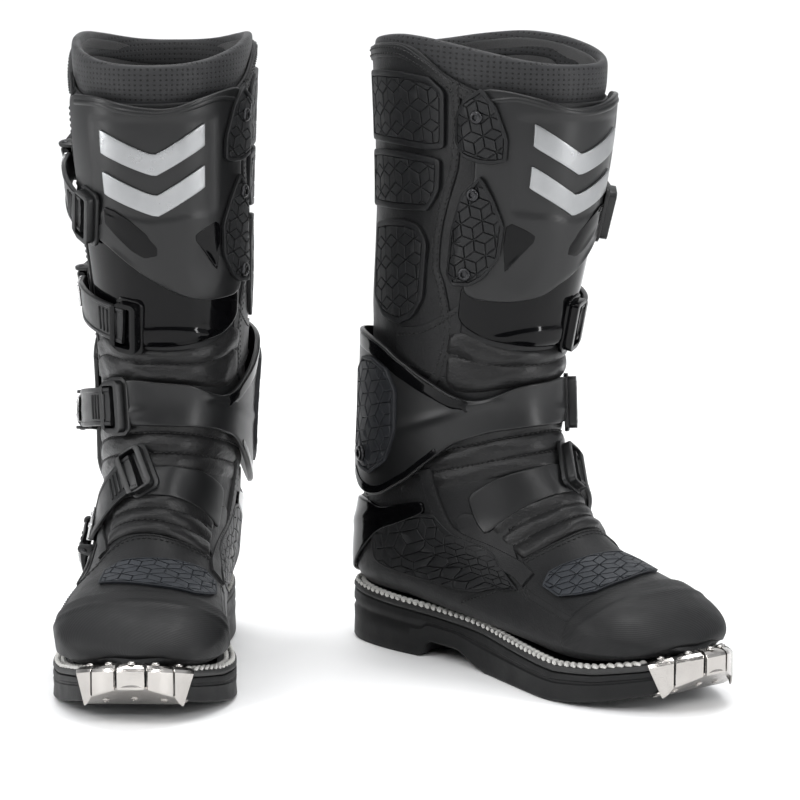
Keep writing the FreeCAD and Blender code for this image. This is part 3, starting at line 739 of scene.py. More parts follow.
def strap_band(number):
    """Strap: a band with raised edges, notches near its receiver and a steel hook plate at its free end."""
    strap = STRAPS[number]
    path = strap_places(number)
    share = np.linspace(0, 1, len(path))
    start, end = strap["seat"] + STRAP_RISE, strap["stand"] + STRAP_THICK
    points, forward, side, out = frames_along(path, start + (end - strap["seat"] - STRAP_RISE) * share)
    half = STRAP_WIDTH / 2 - 3.2 * step_up(share, 0.82, 0.3)
    t = STRAP_THICK
    rows = []
    for p, w, o, h in zip(points, side, out, half):
        right = [(h - 0.6, 0), (h, 0.6), (h, t - 0.7), (h - 0.7, t), (h - 2.4, t), (h - 3.1, t - 0.7)]
        rows.append([p + w * a + o * b for a, b in mirrored(right, (0, t - 0.45))])
    pieces = [rings(np.array(rows)[:, ::-1])]
    length = np.linalg.norm(np.diff(points, axis=0), axis=1).sum()
    notch = prism([(-1.0, t - 1.0), (1.0, t - 1.0), (0.3, t + 0.35), (-0.7, t + 0.1)], -7.6, 7.6, 0.2,
                  axis="y")
    for k in range(5):
        at = (7.5 + 4.2 * k) / length * (len(path) - 1)
        i = min(int(at), len(path) - 2)
        p = points[i] * (1 - at + i) + points[i + 1] * (at - i)
        pieces.append(notch.moved(matrix_of(forward[i], side[i], out[i], p)))
    hook_place = stand(*path[-1], strap["stand"] + 2 * STRAP_THICK + 0.1, strap["receiver"])
    wide = STRAP_WIDTH / 2 - 4.0
    hook = prism(rounded_rect(-1.5, 13, -wide, wide, 2.0), 0.0, 1.5, 0.3)
    loop = prism([(-2.4, -1.2), (-1.4, -1.2), (-0.6, 0.6), (-0.6, 1.5), (-2.4, 1.5)], -wide, wide, 0.3,
                 axis="y")
    rivets = [turned([(1.8, 1.3), (1.8, 1.8), (1.2, 2.3)], 14).moved(shift(8.5, y)) for y in (-4.2, 4.2)]
    return {"band": joined(pieces), "hook": joined([hook, loop] + rivets).moved(hook_place)}


def receiver(number):
    """Ladder-lock frame on a plate: a stepped tray, a framed window and a bevelled block in it."""
    strap = STRAPS[number]
    place = stand(*strap["receiver"], strap["seat"], strap_places(number, 7)[2])
    wide = STRAP_WIDTH / 2 + 1.3
    out = wide + (1.6 if number == 4 else 3.0)    # the lowest one is slimmer, to clear the ankle frame
    tray = prism(rounded_rect(-12, 8, -out - 2, out + 2, 5.0), -1.2, 1.4, 0.6)
    wall = frame_ring(rounded_rect(-9.5, 5.5, -out, out, 3.4), rounded_rect(-5.8, 9.0, -wide, wide, 1.6),
                      1.0, 6.4, 0.7)
    section = [(-5.2, 1.0), (-5.2, 2.2), (-2.6, 2.6), (-0.6, 1.6), (-0.6, 1.0)]
    block = prism(section, -wide + 1.5, wide - 1.5, 0.2, axis="y")
    return joined([tray, wall, block]).moved(place)


# -------------------- materials

class Graph:
    """A node tree, to which nodes are added with their inputs' values and links."""

    def __init__(self, tree):
        self.nodes, self.links = tree.nodes, tree.links

    def feed(self, socket, value):
        """Sets a socket from a number, a vector or colour, or another node's output."""
        if isinstance(value, bpy.types.NodeSocket):
            self.links.new(value, socket)
        else:
            socket.default_value = value

    def add(self, kind, output, inputs, **settings):
        """Adds a node and gives back one of its outputs."""
        node = self.nodes.new("ShaderNode" + kind)
        for name, value in settings.items():
            setattr(node, name, value)
        for name, value in inputs.items():
            self.feed(node.inputs[name], value)
        return node.outputs[output]

    def mix(self, factor, a, b):
        return self.add("Mix", "Result", {"Factor": factor, "A": a, "B": b}, data_type="RGBA")

    def ranged(self, value, low, high, from_low=0.3, from_high=0.7):
        return self.add("MapRange", "Result", {"Value": value, "From Min": from_low, "From Max": from_high,
                                               "To Min": low, "To Max": high})


def material(name):
    """A new material, its graph and its shader's inputs."""
    made = bpy.data.materials.new(name)
    made.use_nodes = True
    return made, Graph(made.node_tree), made.node_tree.nodes["Principled BSDF"].inputs


def rgba(color, factor=1.0, more=0.0):
    return [min(1, c * factor + more) for c in color] + [1]


def texture(graph, kind, scale, source, stretch=None, detail=3.0):
    """A procedural texture's height at some coordinates; any other kind is a wave's direction."""
    if stretch is not None:
        source = graph.add("Mapping", "Vector", {"Vector": source, "Scale": stretch})
    inputs = {"Vector": source, "Scale": scale}
    if kind == "noise":
        return graph.add("TexNoise", "Fac", {**inputs, "Detail": detail})
    if kind == "pebble":
        return graph.add("TexVoronoi", "Distance", {**inputs, "Smoothness": 0.35}, feature="SMOOTH_F1")
    return graph.add("TexWave", "Fac", {**inputs, "Distortion": 0.4}, wave_type="BANDS",
                     bands_direction=kind)


def finish_of(name, color, rough, layers=(), vary=0.12, rough_vary=0.06, metallic=0.0, wear=0.0,
              patch_scale=28.0, sheen=0.0, specular=0.5, anisotropic=0.0):
    """A mottled, worn, unevenly rough material with bump layers (kind, scale, depth in mm[, stretch])."""
    made, graph, shader = material(name)
    coords = graph.add("TexCoord", "Object", {})
    surface = graph.add("Attribute", "Vector", {}, attribute_name="place")
    mottle = graph.ranged(texture(graph, "noise", patch_scale, coords, detail=6.0), 0, 1)
    tint = graph.mix(mottle, rgba(color, 1 - vary), rgba(color, 1 + vary))
    if wear:
        edge = graph.add("NewGeometry", "Pointiness", {})
        tint = graph.mix(graph.ranged(edge, 0, wear, 0.53, 0.62), tint, rgba(color, 2.2, 0.02))
    fine = texture(graph, "noise", patch_scale * 3.7, coords, detail=5.0)
    graph.feed(shader["Base Color"], tint)
    graph.feed(shader["Roughness"], graph.ranged(fine, rough - rough_vary, rough + rough_vary))
    shader["Metallic"].default_value = metallic
    shader["Specular IOR Level"].default_value = specular
    shader["Coat Roughness"].default_value = 0.06
    shader["Sheen Weight"].default_value = sheen
    shader["Anisotropic"].default_value = anisotropic
    for kind, scale, depth, *stretch in layers:
        source = surface if kind.startswith("surface-") else coords
        height = texture(graph, kind.replace("surface-", ""), scale, source, *stretch)
        inputs = {"Height": height, "Distance": depth * 0.001, "Strength": 1.0}
        if shader["Normal"].is_linked:
            inputs["Normal"] = shader["Normal"].links[0].from_socket
        graph.feed(shader["Normal"], graph.add("Bump", "Normal", inputs))
    return made


def perforated(name, color, hole_shade_color, pitch, radius, rough):
    """Soft padding with rows of punched holes, laid out on the surface. The hole pattern is real, but each
    hole is filled near black as painted shade for its depth.
    """
    made = finish_of(name, color, rough, [("pebble", 1400, 0.06), ("noise", 500, 0.08)], sheen=0.06,
                     specular=0.3)
    graph = Graph(made.node_tree)
    shader = made.node_tree.nodes["Principled BSDF"].inputs
    tint, normal = (shader[name].links[0].from_socket for name in ("Base Color", "Normal"))
    split = graph.nodes.new("ShaderNodeSeparateXYZ")
    graph.feed(split.inputs["Vector"], graph.add("Attribute", "Vector", {}, attribute_name="place"))

    def wave(axis):
        turn = graph.add("Math", 0, {0: split.outputs[axis], 1: 2 * math.pi / pitch}, operation="MULTIPLY")
        return graph.add("Math", 0, {0: turn}, operation="COSINE")

    total = graph.add("Math", 0, {0: wave("X"), 1: wave("Y")}, operation="ADD")
    edge = 2 * math.cos(math.pi * 2 * radius / pitch)
    hole = graph.ranged(total, 0, 1, edge - 0.12, edge + 0.12)
    # painted shade: the holes get a near-black colour that stands for the shade inside them
    graph.feed(shader["Base Color"], graph.mix(hole, tint, rgba(hole_shade_color)))
    dent = graph.add("Bump", "Normal", {"Height": hole, "Distance": 0.0006, "Normal": normal}, invert=True)
    graph.feed(shader["Normal"], dent)
    return made


RUBBER_GRAIN = [("noise", 1500, 0.07), ("noise", 90, 0.1)]
LOOKS = {
    "leather": finish_of("black_microfibre_leather", (0.0062, 0.0063, 0.0068), 0.47,
                         [("pebble", 1100, 0.10), ("noise", 420, 0.12), ("noise", 60, 0.35)],
                         wear=0.2, sheen=0.03, specular=0.24),
    "padded_leather": finish_of("soft_padded_leather", (0.0056, 0.0055, 0.0058), 0.4,
                                [("pebble", 900, 0.12), ("noise", 150, 0.5, (1, 1, 2.5))],
                                wear=0.15, sheen=0.03, specular=0.30),
    # the collar's holes are painted near black, as painted shade inside them
    "collar": perforated("perforated_collar", (0.017, 0.0172, 0.0185), (0.001, 0.001, 0.001), 0.0031, 0.0005,
                         0.6),
    "lining": finish_of("mesh_lining", (0.007, 0.007, 0.0078), 0.85,
                        [("surface-X", 900, 0.25), ("surface-Y", 900, 0.25)], sheen=0.3),
    "thread": finish_of("black_thread", (0.0018, 0.0018, 0.002), 0.5, [("noise", 2600, 0.1)], specular=0.4),
    "gloss": finish_of("gloss_moulding", (0.0016, 0.0016, 0.0019), 0.085, [("noise", 160, 0.02)],
                       rough_vary=0.02, wear=0.1, specular=0.16, patch_scale=40),
    "satin": finish_of("satin_moulding", (0.0062, 0.0063, 0.0067), 0.36, [("noise", 2400, 0.02)],
                       rough_vary=0.02, wear=0.08, specular=0.36),
    "slate": finish_of("slate_rubber", (0.0195, 0.0218, 0.0258), 0.52, RUBBER_GRAIN, wear=0.3, vary=0.16,
                       specular=0.28),
    "slate_dark": finish_of("dark_slate_rubber", (0.0115, 0.0125, 0.0148), 0.48, RUBBER_GRAIN, wear=0.3,
                            specular=0.28),
    "rubber": finish_of("black_rubber", (0.0066, 0.0068, 0.0074), 0.48, RUBBER_GRAIN, wear=0.3,
                        specular=0.24),
    "ribbed": finish_of("ribbed_toe_rubber", (0.0066, 0.0067, 0.0071), 0.5,
                        [("surface-DIAGONAL", 230, 0.06), ("noise", 1500, 0.05)], wear=0.25, specular=0.24),
    "sole": finish_of("sole_rubber", (0.0062, 0.0063, 0.0066), 0.53,
                      [("noise", 900, 0.1), ("noise", 70, 0.25)], wear=0.35, vary=0.2, specular=0.24),
    "welt": finish_of("welt_strip", (0.014, 0.014, 0.014), 0.6, [("noise", 700, 0.15)], wear=0.3),
    "cord": finish_of("off_white_welt_thread", (0.66, 0.65, 0.62), 0.72,
                      [("DIAGONAL", 1300, 0.15), ("noise", 900, 0.12)], vary=0.18, sheen=0.2),
    "strap": finish_of("strap_polyurethane", (0.006, 0.0061, 0.0065), 0.36,
                       [("noise", 1600, 0.05), ("noise", 110, 0.08)], wear=0.25, specular=0.32),
    "steel": finish_of("polished_steel", (0.44, 0.42, 0.40), 0.2,
                       [("noise", 240, 0.06, (1, 1, 9)), ("noise", 60, 0.12)], metallic=1.0,
                       rough_vary=0.07),
    "dark_steel": finish_of("dark_steel", (0.04, 0.04, 0.042), 0.3, [("noise", 700, 0.05)], metallic=1.0),
    "silver": finish_of("brushed_silver", (0.30, 0.305, 0.31), 0.34, [("noise", 900, 0.02, (1, 1, 0.06))],
                        metallic=1.0, rough_vary=0.08, anisotropic=0.4),
    "patch": finish_of("silver_patch", (0.6, 0.6, 0.6), 0.28, [("noise", 900, 0.04)], metallic=0.9),
    "board": finish_of("insole_board", (0.38, 0.31, 0.22), 0.8, [("noise", 500, 0.2)], vary=0.2),
}


# -------------------- setting pieces down on both boots

def to_pair(points, side):
    """Boot-frame millimetres to pair-frame metres."""
    px, py, yaw, hand = PLACES[side]
    sin, cos = math.sin(math.radians(yaw)), math.cos(math.radians(yaw))
    x, y, z = points.T
    y = y * hand
    return np.column_stack([px + sin * x + cos * y, py - cos * x + sin * y, z]) * 0.001


def mesh_from(name, shape, look, side, sharp=35.0):
    points, places = shape.arrays()
    mesh = bpy.data.meshes.new(name)
    faces = shape.faces if PLACES[side][3] > 0 else flipped(shape.faces)
    mesh.from_pydata(to_pair(points, side).tolist(), [], faces)
    attribute = mesh.attributes.new("place", "FLOAT_VECTOR", "POINT")
    attribute.data.foreach_set("vector", (places * 0.001).ravel())
    mesh.polygons.foreach_set("use_smooth", [True] * len(mesh.polygons))
    mesh.set_sharp_from_angle(angle=math.radians(sharp))
    mesh.materials.append(LOOKS[look])
    mesh.validate()
    return mesh


def outward_faces(shape):
    """The shape with each closed part's faces turned outwards."""
    points, places = shape.arrays()
    bm = bmesh.new()
    corners = [bm.verts.new(p) for p in points]
    for face in shape.faces:
        try:
            bm.faces.new([corners[i] for i in face])
        except ValueError:    # a face that is there already, or has a corner twice
            pass
    bmesh.ops.recalc_face_normals(bm, faces=bm.faces)
    bm.verts.index_update()
    faces = [tuple(v.index for v in f.verts) for f in bm.faces]
    bm.free()
    return Shape().add(points, faces, places)


SIDES = ("right", "left")


def put(name, shape, look, node=None, slot=None, replace=True, sharp=35.0, blend=False, padded=None):
    """Sets a piece down on both boots, riding on the body of its CAD node or baked in place, and hides the
    node it replaces.

    The node has the piece's own name, unless another is given; its slot is looked up but not given to the
    piece.
    """
    node = node or name
    shape = outward_faces(shape)
    made = []
    for side in SIDES:
        piece = placed(f"{side}_{name}", mesh_from(f"{side}_{name}", shape, look, side, sharp))
        if blend:
            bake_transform(piece)
        else:
            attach(piece, BODY_OF[f"{side}_{node}"])
        if replace:
            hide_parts(f"{side}_{node}")
        slot or SLOT_OF[f"{side}_{node}"]
        made.append(piece)
    return made


def add(name, shape, look, node, **options):
    """Sets down a piece that goes with others in place of its node."""
    return put(name, shape, look, node, replace=False, **options)


# -------------------- padded leather

def cushion_grid(rows, base, crown, channels, step):
    """Places and heights of a pad with sewn channels (shares of its width)."""
    g = plate_grid(rows, [(0, 0), (1.0, 1), (2.4, 2)], step, corner=3.0)
    width = (g["end"] - g["start"])[:, None]
    share = np.clip((g["s"] - g["start"][:, None]) / width, 0, 1)
    stops = [0.0] + list(channels) + [1.0]
    height = np.zeros_like(share)
    for a, b in zip(stops, stops[1:]):
        t = np.clip((share - a) / (b - a), 0, 1)
        roll = np.sqrt(np.clip(1 - (2 * t - 1) ** 2, 0, 1))
        height = np.where((share >= a) & (share <= b), roll * min(1.0, (b - a) * 2.6), height)
    ends = np.clip(g["d"] / 5.0, 0, 1)
    return g, base + crown * height * np.sqrt(1 - (1 - ends) ** 2)


def smoothed(move, faces, pinned, rounds=3):
    """Moves of points, each averaged with those of its neighbours, so that only broad wrinkles stay."""
    corners = np.concatenate([np.array(face) for face in faces])
    sizes = np.array([len(face) for face in faces])
    owner = np.repeat(np.arange(len(faces)), sizes)
    shares = np.bincount(corners, minlength=len(move))[:, None]
    for _ in range(rounds):
        middle = np.stack([np.bincount(owner, move[corners, k]) for k in range(3)], 1) / sizes[:, None]
        move = np.stack([np.bincount(corners, middle[owner, k], len(move)) for k in range(3)], 1) / shares
        move[pinned] = 0
    return move


def swollen(shape, pinned, pressure, shrink, cap, frames=16):
    """The shape after its skin has been blown up by cloth simulation, its pinned points held."""
    points, places = shape.arrays()
    mesh = bpy.data.meshes.new("pad_being_filled")
    mesh.from_pydata((points * 0.001).tolist(), [], shape.faces)
    pad = placed("pad_being_filled", mesh)
    group = pad.vertex_groups.new(name="sewn")
    group.add([int(i) for i in np.nonzero(pinned)[0]], 1.0, "REPLACE")
    cloth = pad.modifiers.new("cloth", "CLOTH")
    for name, value in {"quality": 6, "mass": 0.25, "tension_stiffness": 12, "compression_stiffness": 12,
                        "shear_stiffness": 6, "bending_stiffness": 1.5, "air_damping": 4,
                        "use_pressure": True,
                        "uniform_pressure_force": pressure, "shrink_min": shrink,
                        "vertex_group_mass": "sewn"}.items():
        setattr(cloth.settings, name, value)
    cloth.settings.effector_weights.gravity = 0
    cloth.collision_settings.use_collision = False
    cloth.collision_settings.use_self_collision = False
    for number in range(1, frames + 1):
        bpy.context.scene.frame_set(number)
    ready = pad.evaluated_get(bpy.context.evaluated_depsgraph_get()).to_mesh()
    found = np.zeros(len(points) * 3)
    ready.vertices.foreach_get("co", found)
    bpy.context.scene.frame_set(1)
    bpy.data.objects.remove(pad)
    bpy.data.meshes.remove(mesh)
    move = smoothed(np.nan_to_num(found.reshape(-1, 3) * 1000 - points), shape.faces, pinned)
    length = np.linalg.norm(move, axis=1, keepdims=True)
    move = move * np.minimum(1, cap / np.maximum(length, 1e-9))
    return Shape().add(points + move, shape.faces, places)


def cushion(rows, base, crown, channels, step):
    """A stuffed leather pad with sewn channels, filled by a cloth simulation."""
    g, height = cushion_grid(rows, base, crown, channels, step)
    top = form(g["s"], g["phi"], height)
    low = form(g["s"], g["phi"], np.full_like(height, base - 1.2))
    places = np.stack([g["phi"] * g["degree"], g["s"], height], axis=-1)
    held = (height - base < 0.3 * crown).ravel()
    pinned = np.concatenate([held, np.ones(low.shape[0] * low.shape[1], bool)])
    return swollen(outward_faces(closed_sheet(top, low, places)), pinned, pressure=3.0, shrink=-0.03,
                   cap=1.6)


def channel_path(rows, share, inset=3.0, count=9):
    """Places along a sewn channel of a pad, at a share of its width."""
    table = np.array(rows, float)
    lift = inset / MM_PER_DEGREE
    phi = np.linspace(table[0, 0] + lift, table[-1, 0] - lift, count)
    start, end = between(table[:, 0], table[:, 1:3], phi).T
    return list(zip(start + (end - start) * share, phi))


# -------------------- leather, lining and collar

COLUMNS = 132
RING = np.linspace(-180, 180, COLUMNS, endpoint=False)    # the angles of every ring round the form


def round_form(rows, relief=None):
    """Points and places of rings round the form, from rows of (distance, height)."""
    s, off = (np.array([np.broadcast_to(row[k], COLUMNS) for row in rows], float) for k in (0, 1))
    angles = np.broadcast_to(RING, s.shape)
    if relief is not None:
        off = off + relief(s, angles)
    places = np.stack([angles * MM_PER_DEGREE, s, off], axis=-1).reshape(-1, 3)
    return form(s, angles, off), places


def sleeve(top, bottom, outer, inner, step, relief):
    """A closed tube wall between two edges, with a rounded top lip."""
    middle, lip = (outer + inner) / 2, (outer - inner) / 2
    rows = [(top + lip * (1 - math.sin(a)), middle + lip * math.cos(a)) for a in np.radians([90, 60, 30, 0])]
    count = int(math.ceil(np.mean(bottom - top) / step))

    def row(k, off):
        return top + lip + (bottom - top - lip) * k / count, off

    rows += [row(k, outer) for k in range(1, count + 1)]
    rows += [row(k, inner) for k in range(count, -1, -2)]
    rows.append((top + lip * 0.5, middle - lip * 0.87))
    return rings(*round_form(rows, relief), ends="wrap")


def creases(s, phi):
    """Shallow waves of worn leather."""
    waves = 0.28 * np.sin(s / 9.0 + 0.8 * np.sin(phi / 17.0)) * np.sin(phi / 23.0 + s / 31.0)
    return waves + 0.16 * np.sin(s / 4.3 + phi / 11.0) * np.sin(s / 37.0)


def shaft_leather():
    shape = sleeve(edge_s(SHAFT_EDGE, RING), SHAFT_END + 3.0, 0.0, -2.8, 4.0,
                   lambda s, p: creases(s, p) * 0.6)
    put("shaft_leather", shape, "leather", "shaft")


def plates(*panels):
    """Thin leather panels, each (rows, height, radius of its edge, step, corner radius)."""
    return joined([plate(rows, -0.4, rounded(outer, radius), step, corner=corner)
                   for rows, outer, radius, step, corner in panels])


FRONT_SEAM = [(12, 72), (36, 71), (62, 72), (78, 75), (103, 79), (128, 78.5), (142, 74), (172, 68),
              (196, 72), (206, 77)]


def shaft_trim():
    """Top band, side panel overlays and piping of the shaft, and their stitching."""
    top = edge_s(SHAFT_EDGE, RING)

    def top_at(angle):
        return float(np.interp(angle if angle <= 180 else angle - 360, RING, top))

    band = [(a, top_at(a) + 1.2, top_at(a) + 9.0) for a in range(62, 299, 12)]
    front = [(62, 70, 176), (52, 100, 190), (20, 120, 200), (-20, 120, 200), (-60, 100, 196), (-72, 90, 186)]
    inner = [(60, 150, 206), (70, 158, 204), (84, 166, 198), (100, 168, 192)]
    outer = [(-132, 24, 60), (-118, 20, 196), (-96, 22, 204), (-80, 26, 206), (-70, 40, 206)]
    shape = plates((band, 1.1, 0.5, 3.0, 3.0), (front, 0.45, 0.4, 4.0, 4.0), (inner, 1.2, 0.5, 3.0, 4.0),
                   (outer, 1.3, 0.5, 4.0, 5.0))
    shape.join(strip(FRONT_SEAM, 0.0, 6.4, 1.3))
    shape.join(strip([(6, -64), (40, -62), (90, -66), (150, -70), (206, -66)], 0.0, 4.2, 1.5))
    shape.join(strip([(16, 180), (80, 180), (160, 180), (172, 180)], 0.0, 9.0, 1.4))
    add("shaft_trim", shape, "leather", "shaft")

    thread = double_stitches([(top_at(a) + 5.0, a) for a in range(64, 297, 12)], 1.1, gap=3.6)
    for across in (-3.0, 3.0):
        thread.join(stitches([(18, 180 + across), (80, 180 + across), (165, 180 + across)], 1.4))
    thread.join(double_stitches(FRONT_SEAM[:-1], 1.2, gap=3.4))
    for path, off in (([(10, -60), (50, -58), (96, -62)], 0.0),
                      ([(156, 62), (164, 72), (171, 84), (173, 98)], 1.2),
                      ([(203, 62), (200, 72), (195, 84), (189, 98)], 1.2),
                      ([(30, -76), (110, -75), (196, -75)], 1.3),
                      ([(30, -114), (110, -115), (190, -114)], 1.3)):
        thread.join(stitches(path, off))
    add("shaft_stitching", thread, "thread", "shaft")


def lining():
    """Mesh lining inside the shaft, down to the foot."""
    top = edge_s(RIM, RING, -6.0) + 4.0
    shape = sleeve(top, SHAFT_END - 1.0, -4.4, -8.6, 6.0, lambda s, p: creases(s, p) * 0.8)
    put("lining", shape, "lining", "liner")


# Each point: share of the collar's depth, height.
COLLAR_SECTION = ((0.0, -6.2), (0.02, -4.6), (0.06, -3.6), (0.14, -3.1), (0.3, -2.9), (0.5, -2.8),
                  (0.7, -3.0), (0.85, -3.3), (1.0, -3.6), (1.0, -5.0), (1.0, -8.2), (0.85, -9.2),
                  (0.6, -9.8), (0.35, -9.8), (0.16, -9.3), (0.06, -8.5), (0.02, -7.6))
COLLAR_SEWN = slice(7, 12)    # the rows held while the roll is filled


def collar():
    """The padded rim: a soft roll of perforated leather round the top, and its stitching."""
    rim, edge = edge_s(RIM, RING, -6.0), edge_s(SHAFT_EDGE, RING)
    depth = np.maximum(edge, rim + 12.0) + 5.0 - rim
    shape = outward_faces(rings(*round_form([(rim + depth * share, off) for share, off in COLLAR_SECTION]),
                                ends="wrap"))
    held = np.zeros((len(COLLAR_SECTION), COLUMNS), bool)
    held[COLLAR_SEWN] = True
    shape = swollen(shape, held.ravel(), pressure=2.5, shrink=-0.05, cap=1.3)
    for piece in add("collar", shape, "collar", "liner", padded=0.5):
        piece.modifiers.new("smooth", "SUBSURF").levels = 1
        piece.modifiers["smooth"].render_levels = 1
    pull_loop()
    front = slice(47, 85, 4)
    thread = stitches([(float(s) - 1.6, float(phi)) for s, phi in zip(edge[front], RING[front])], -2.9,
                      thick=0.7)
    add("collar_stitching", thread, "thread", "liner")


def pull_loop():
    """A tape loop inside the front of the rim."""
    tape = ((0, -6.5, 0), (0, 6.5, 0), (0, 6.5, 0.9), (0, 0, 1.2), (0, -6.5, 0.9))
    grid = []
    for k in range(15):
        a = math.pi * k / 14
        s, off = 30 - 15 * math.sin(a), -9.0 - 10 * (1 - math.cos(a)) / 2 - 3.5 * math.sin(a)
        grid.append([form(s + down, 4 + phi, off + height) for down, phi, height in tape])
    add("pull_loop", rings(grid), "lining", "liner")


def foot_leather():
    """The foot's leather: an open-topped skin, turned in round its throat and closed at the toe."""
    front = np.clip(np.cos(np.radians(RING)), 0, 1) ** 0.6
    top = FOOT_START + 13.0 * front
    rows = [(s, -5.0) for s in (500.0, 470.0, 430.0, 390.0, 350.0, 320.0, 300.0)] + [(top + 8.0, -5.0)]
    rows += [(top + 2.4 * (1 - cos_of(a)), -2.5 + 2.5 * sin_of(a)) for a in (-50, 0, 50)]
    rows += [(top + 5 + (TOE_END - top - 5) * (k / 72) ** 0.92, 0.0) for k in range(1, 72)]
    rows.append((TOE_END, -0.5))
    points, places = round_form(rows, lambda s, p: np.where(s < 440, creases(s, p) * 0.45, 0))
    put("foot_leather", rings(points, places), "leather", "foot_upper")


VAMP = [(-70, 402, 446), (-58, 394, 452), (-48, 384, 454), (-36, 366, 455), (-20, 353, 455), (0, 350, 455),
        (20, 354, 455), (40, 359, 455), (58, 364, 455), (72, 384, 454), (84, 404, 452)]


def foot_trim():
    """Vamp overlay, side bands and heel facing of the foot, with their stitching."""
    edge = rounded(0.9, 0.45) + [(1.8, 0.95), (2.4, 0.45), (3.2, 0.42)]
    shape = plate(VAMP, -0.3, edge, 3.2, corner=4.0)
    for rows, outer, radius, step, corner in (
            ([(74, 392, 470), (86, 380, 476), (98, 372, 470), (108, 372, 440)], 0.6, 0.4, 4.0, 4.0),
            ([(-112, 300, 470), (-98, 300, 482), (-86, 310, 478), (-74, 330, 460)], 1.0, 0.5, 4.0, 6.0),
            ([(78, 268, 300), (92, 264, 292), (108, 264, 286), (122, 264, 278)], 0.8, 0.45, 3.0, 4.0)):
        shape.join(plate(rows, -0.3, rounded(outer, radius), step, corner=corner))
    shape.join(strip([(262, 82), (300, 76), (340, 69), (372, 65), (390, 67)], 0.1, 11.0, 1.8))
    surround = [(47, 304, 320), (53, 303, 342), (59, 301, 362), (65, 298, 374), (70, 300, 366)]
    shape.join(plate(surround, -0.3, rounded(1.5, 0.6), 2.6, corner=2.5))
    shape.join(strip([(318, -66), (338, -55), (356, -46), (372, -42)], 0.1, 8.0, 1.8))
    shape.join(strip([(302, -62), (330, -70), (368, -72), (404, -66)], 0.0, 6.0, 1.2))
    add("foot_trim", shape, "leather", "foot_upper")

    vamp_seam = [(404, -64), (396, -55), (386, -47), (369, -36), (357, -20), (354, 0), (358, 20), (363, 40),
                 (368, 57), (386, 69), (405, 80)]
    thread = double_stitches(vamp_seam, 0.5, gap=2.4)
    thread.join(double_stitches([(264, 82), (300, 76), (340, 69), (371, 65)], 1.6, gap=7.6))
    thread.join(stitches([(396, 78), (384, 88), (376, 98), (374, 106)], 0.6))
    thread.join(stitches([(304, -108), (303, -98), (313, -88), (334, -78), (456, -78)], 1.0))
    thread.join(double_stitches([(320, -64), (340, -54), (358, -45), (370, -42)], 1.6, gap=5.0))
    thread.join(stitches([(268, 126), (280, 110), (288, 94), (296, 80)], 0.6))
    add("foot_stitching", thread, "thread", "foot_upper")


SHIN_PAD = [(-66, 181, 209), (-50, 177, 209), (-25, 183, 210), (0, 186, 212), (25, 184, 213),
            (45, 178, 214), (60, 170, 212), (68, 172, 206)]
ANKLE_PAD = [(-96, 240, 276), (-80, 238, 278), (-60, 235, 280), (-30, 231, 282), (0, 229, 283),
             (30, 231, 282), (60, 235, 280), (80, 238, 278), (96, 240, 276)]
THROAT_PAD = [(-40, 302, 360), (-28, 301, 352), (-12, 300, 349), (5, 300, 350), (25, 301, 355),
              (42, 304, 361), (56, 312, 364)]
# Each pad: name, outline, base and crown height, sewn channels, step, height of its stitches, node.
PADS = (
    ("shin_pad", SHIN_PAD, 0.1, 3.0, (0.42,), 2.6, 0.9, "shaft"),
    ("ankle_pad", ANKLE_PAD, -0.9, 2.6, (0.36, 0.68), 2.4, 0.1, "ankle_bellows"),
    ("instep_pad", THROAT_PAD, 0.0, 3.4, (0.3, 0.62), 2.6, 0.9, "foot_upper"),
)


def padded_leather():
    """Rolls of stuffed leather where the boot bends: on the shin, round the ankle and on the instep."""
    for name, rows, base, crown, channels, step, _, node in PADS:
        pad = cushion(rows, base, crown, channels, step)
        add(name, pad, "padded_leather", node, padded=0.6, sharp=60, blend=node == "ankle_bellows")
    for name, rows, _, _, channels, _, off, node in PADS:
        thread = joined([stitches(channel_path(rows, share), off) for share in channels])
        add(f"{name}_stitching", thread, "thread", node, blend=node == "ankle_bellows")


def ankle_skirt():
    """Thin leather behind the rolls, from the shaft to the foot."""
    count = 16
    start, end = SHAFT_END - 6.0, 284.0
    rows = [(start + (end - start) * k / count, -0.8) for k in range(count + 1)]
    rows += [(start + (end - start) * k / count, -3.8) for k in range(count, -1, -2)]

    def folds(s, _):
        t = (s - start) / (end - start)
        waves = 0.9 * np.sin(t * math.pi * 7) * np.sin(math.pi * np.clip(t, 0, 1))
        return waves - 1.1 * step_up(t, 0.85, 0.2)

    shape = rings(*round_form(rows, folds), ends="wrap")
    put("ankle_skirt", shape, "padded_leather", "ankle_bellows", blend=True)


# -------------------- moulded plates

def shin_relief(s, phi):
    """A flat badge field with a step round it, a keel down the front and a scoop on each side below."""
    keel = 0.7 * np.exp(-((phi - 2) / 9.0) ** 2) * step_up(s, 104, 26)
    below = 1 - step_up(s, 97 - 0.16 * np.abs(phi), 3)
    field = -0.8 * step_up(s, 30, 3) * below * (1 - step_up(np.abs(phi - 2), 36, 4))
    scoop = -1.1 * bump(s, phi, 122, -22, 22, 17) - 1.1 * bump(s, phi, 128, 30, 18, 14)
    return keel + field + scoop


BRACKET_DROP = -5.7
BRACKET_UPPER = [(71, 32, 48, BRACKET_DROP), (65, 20, 57), (57, 13, 60), (50, 24, 60), (44, 44, 58)]
BRACKET_LOWER = [(71, 104, 132, BRACKET_DROP), (65, 80, 139), (56, 68, 139), (49, 82, 134), (42, 100, 120)]


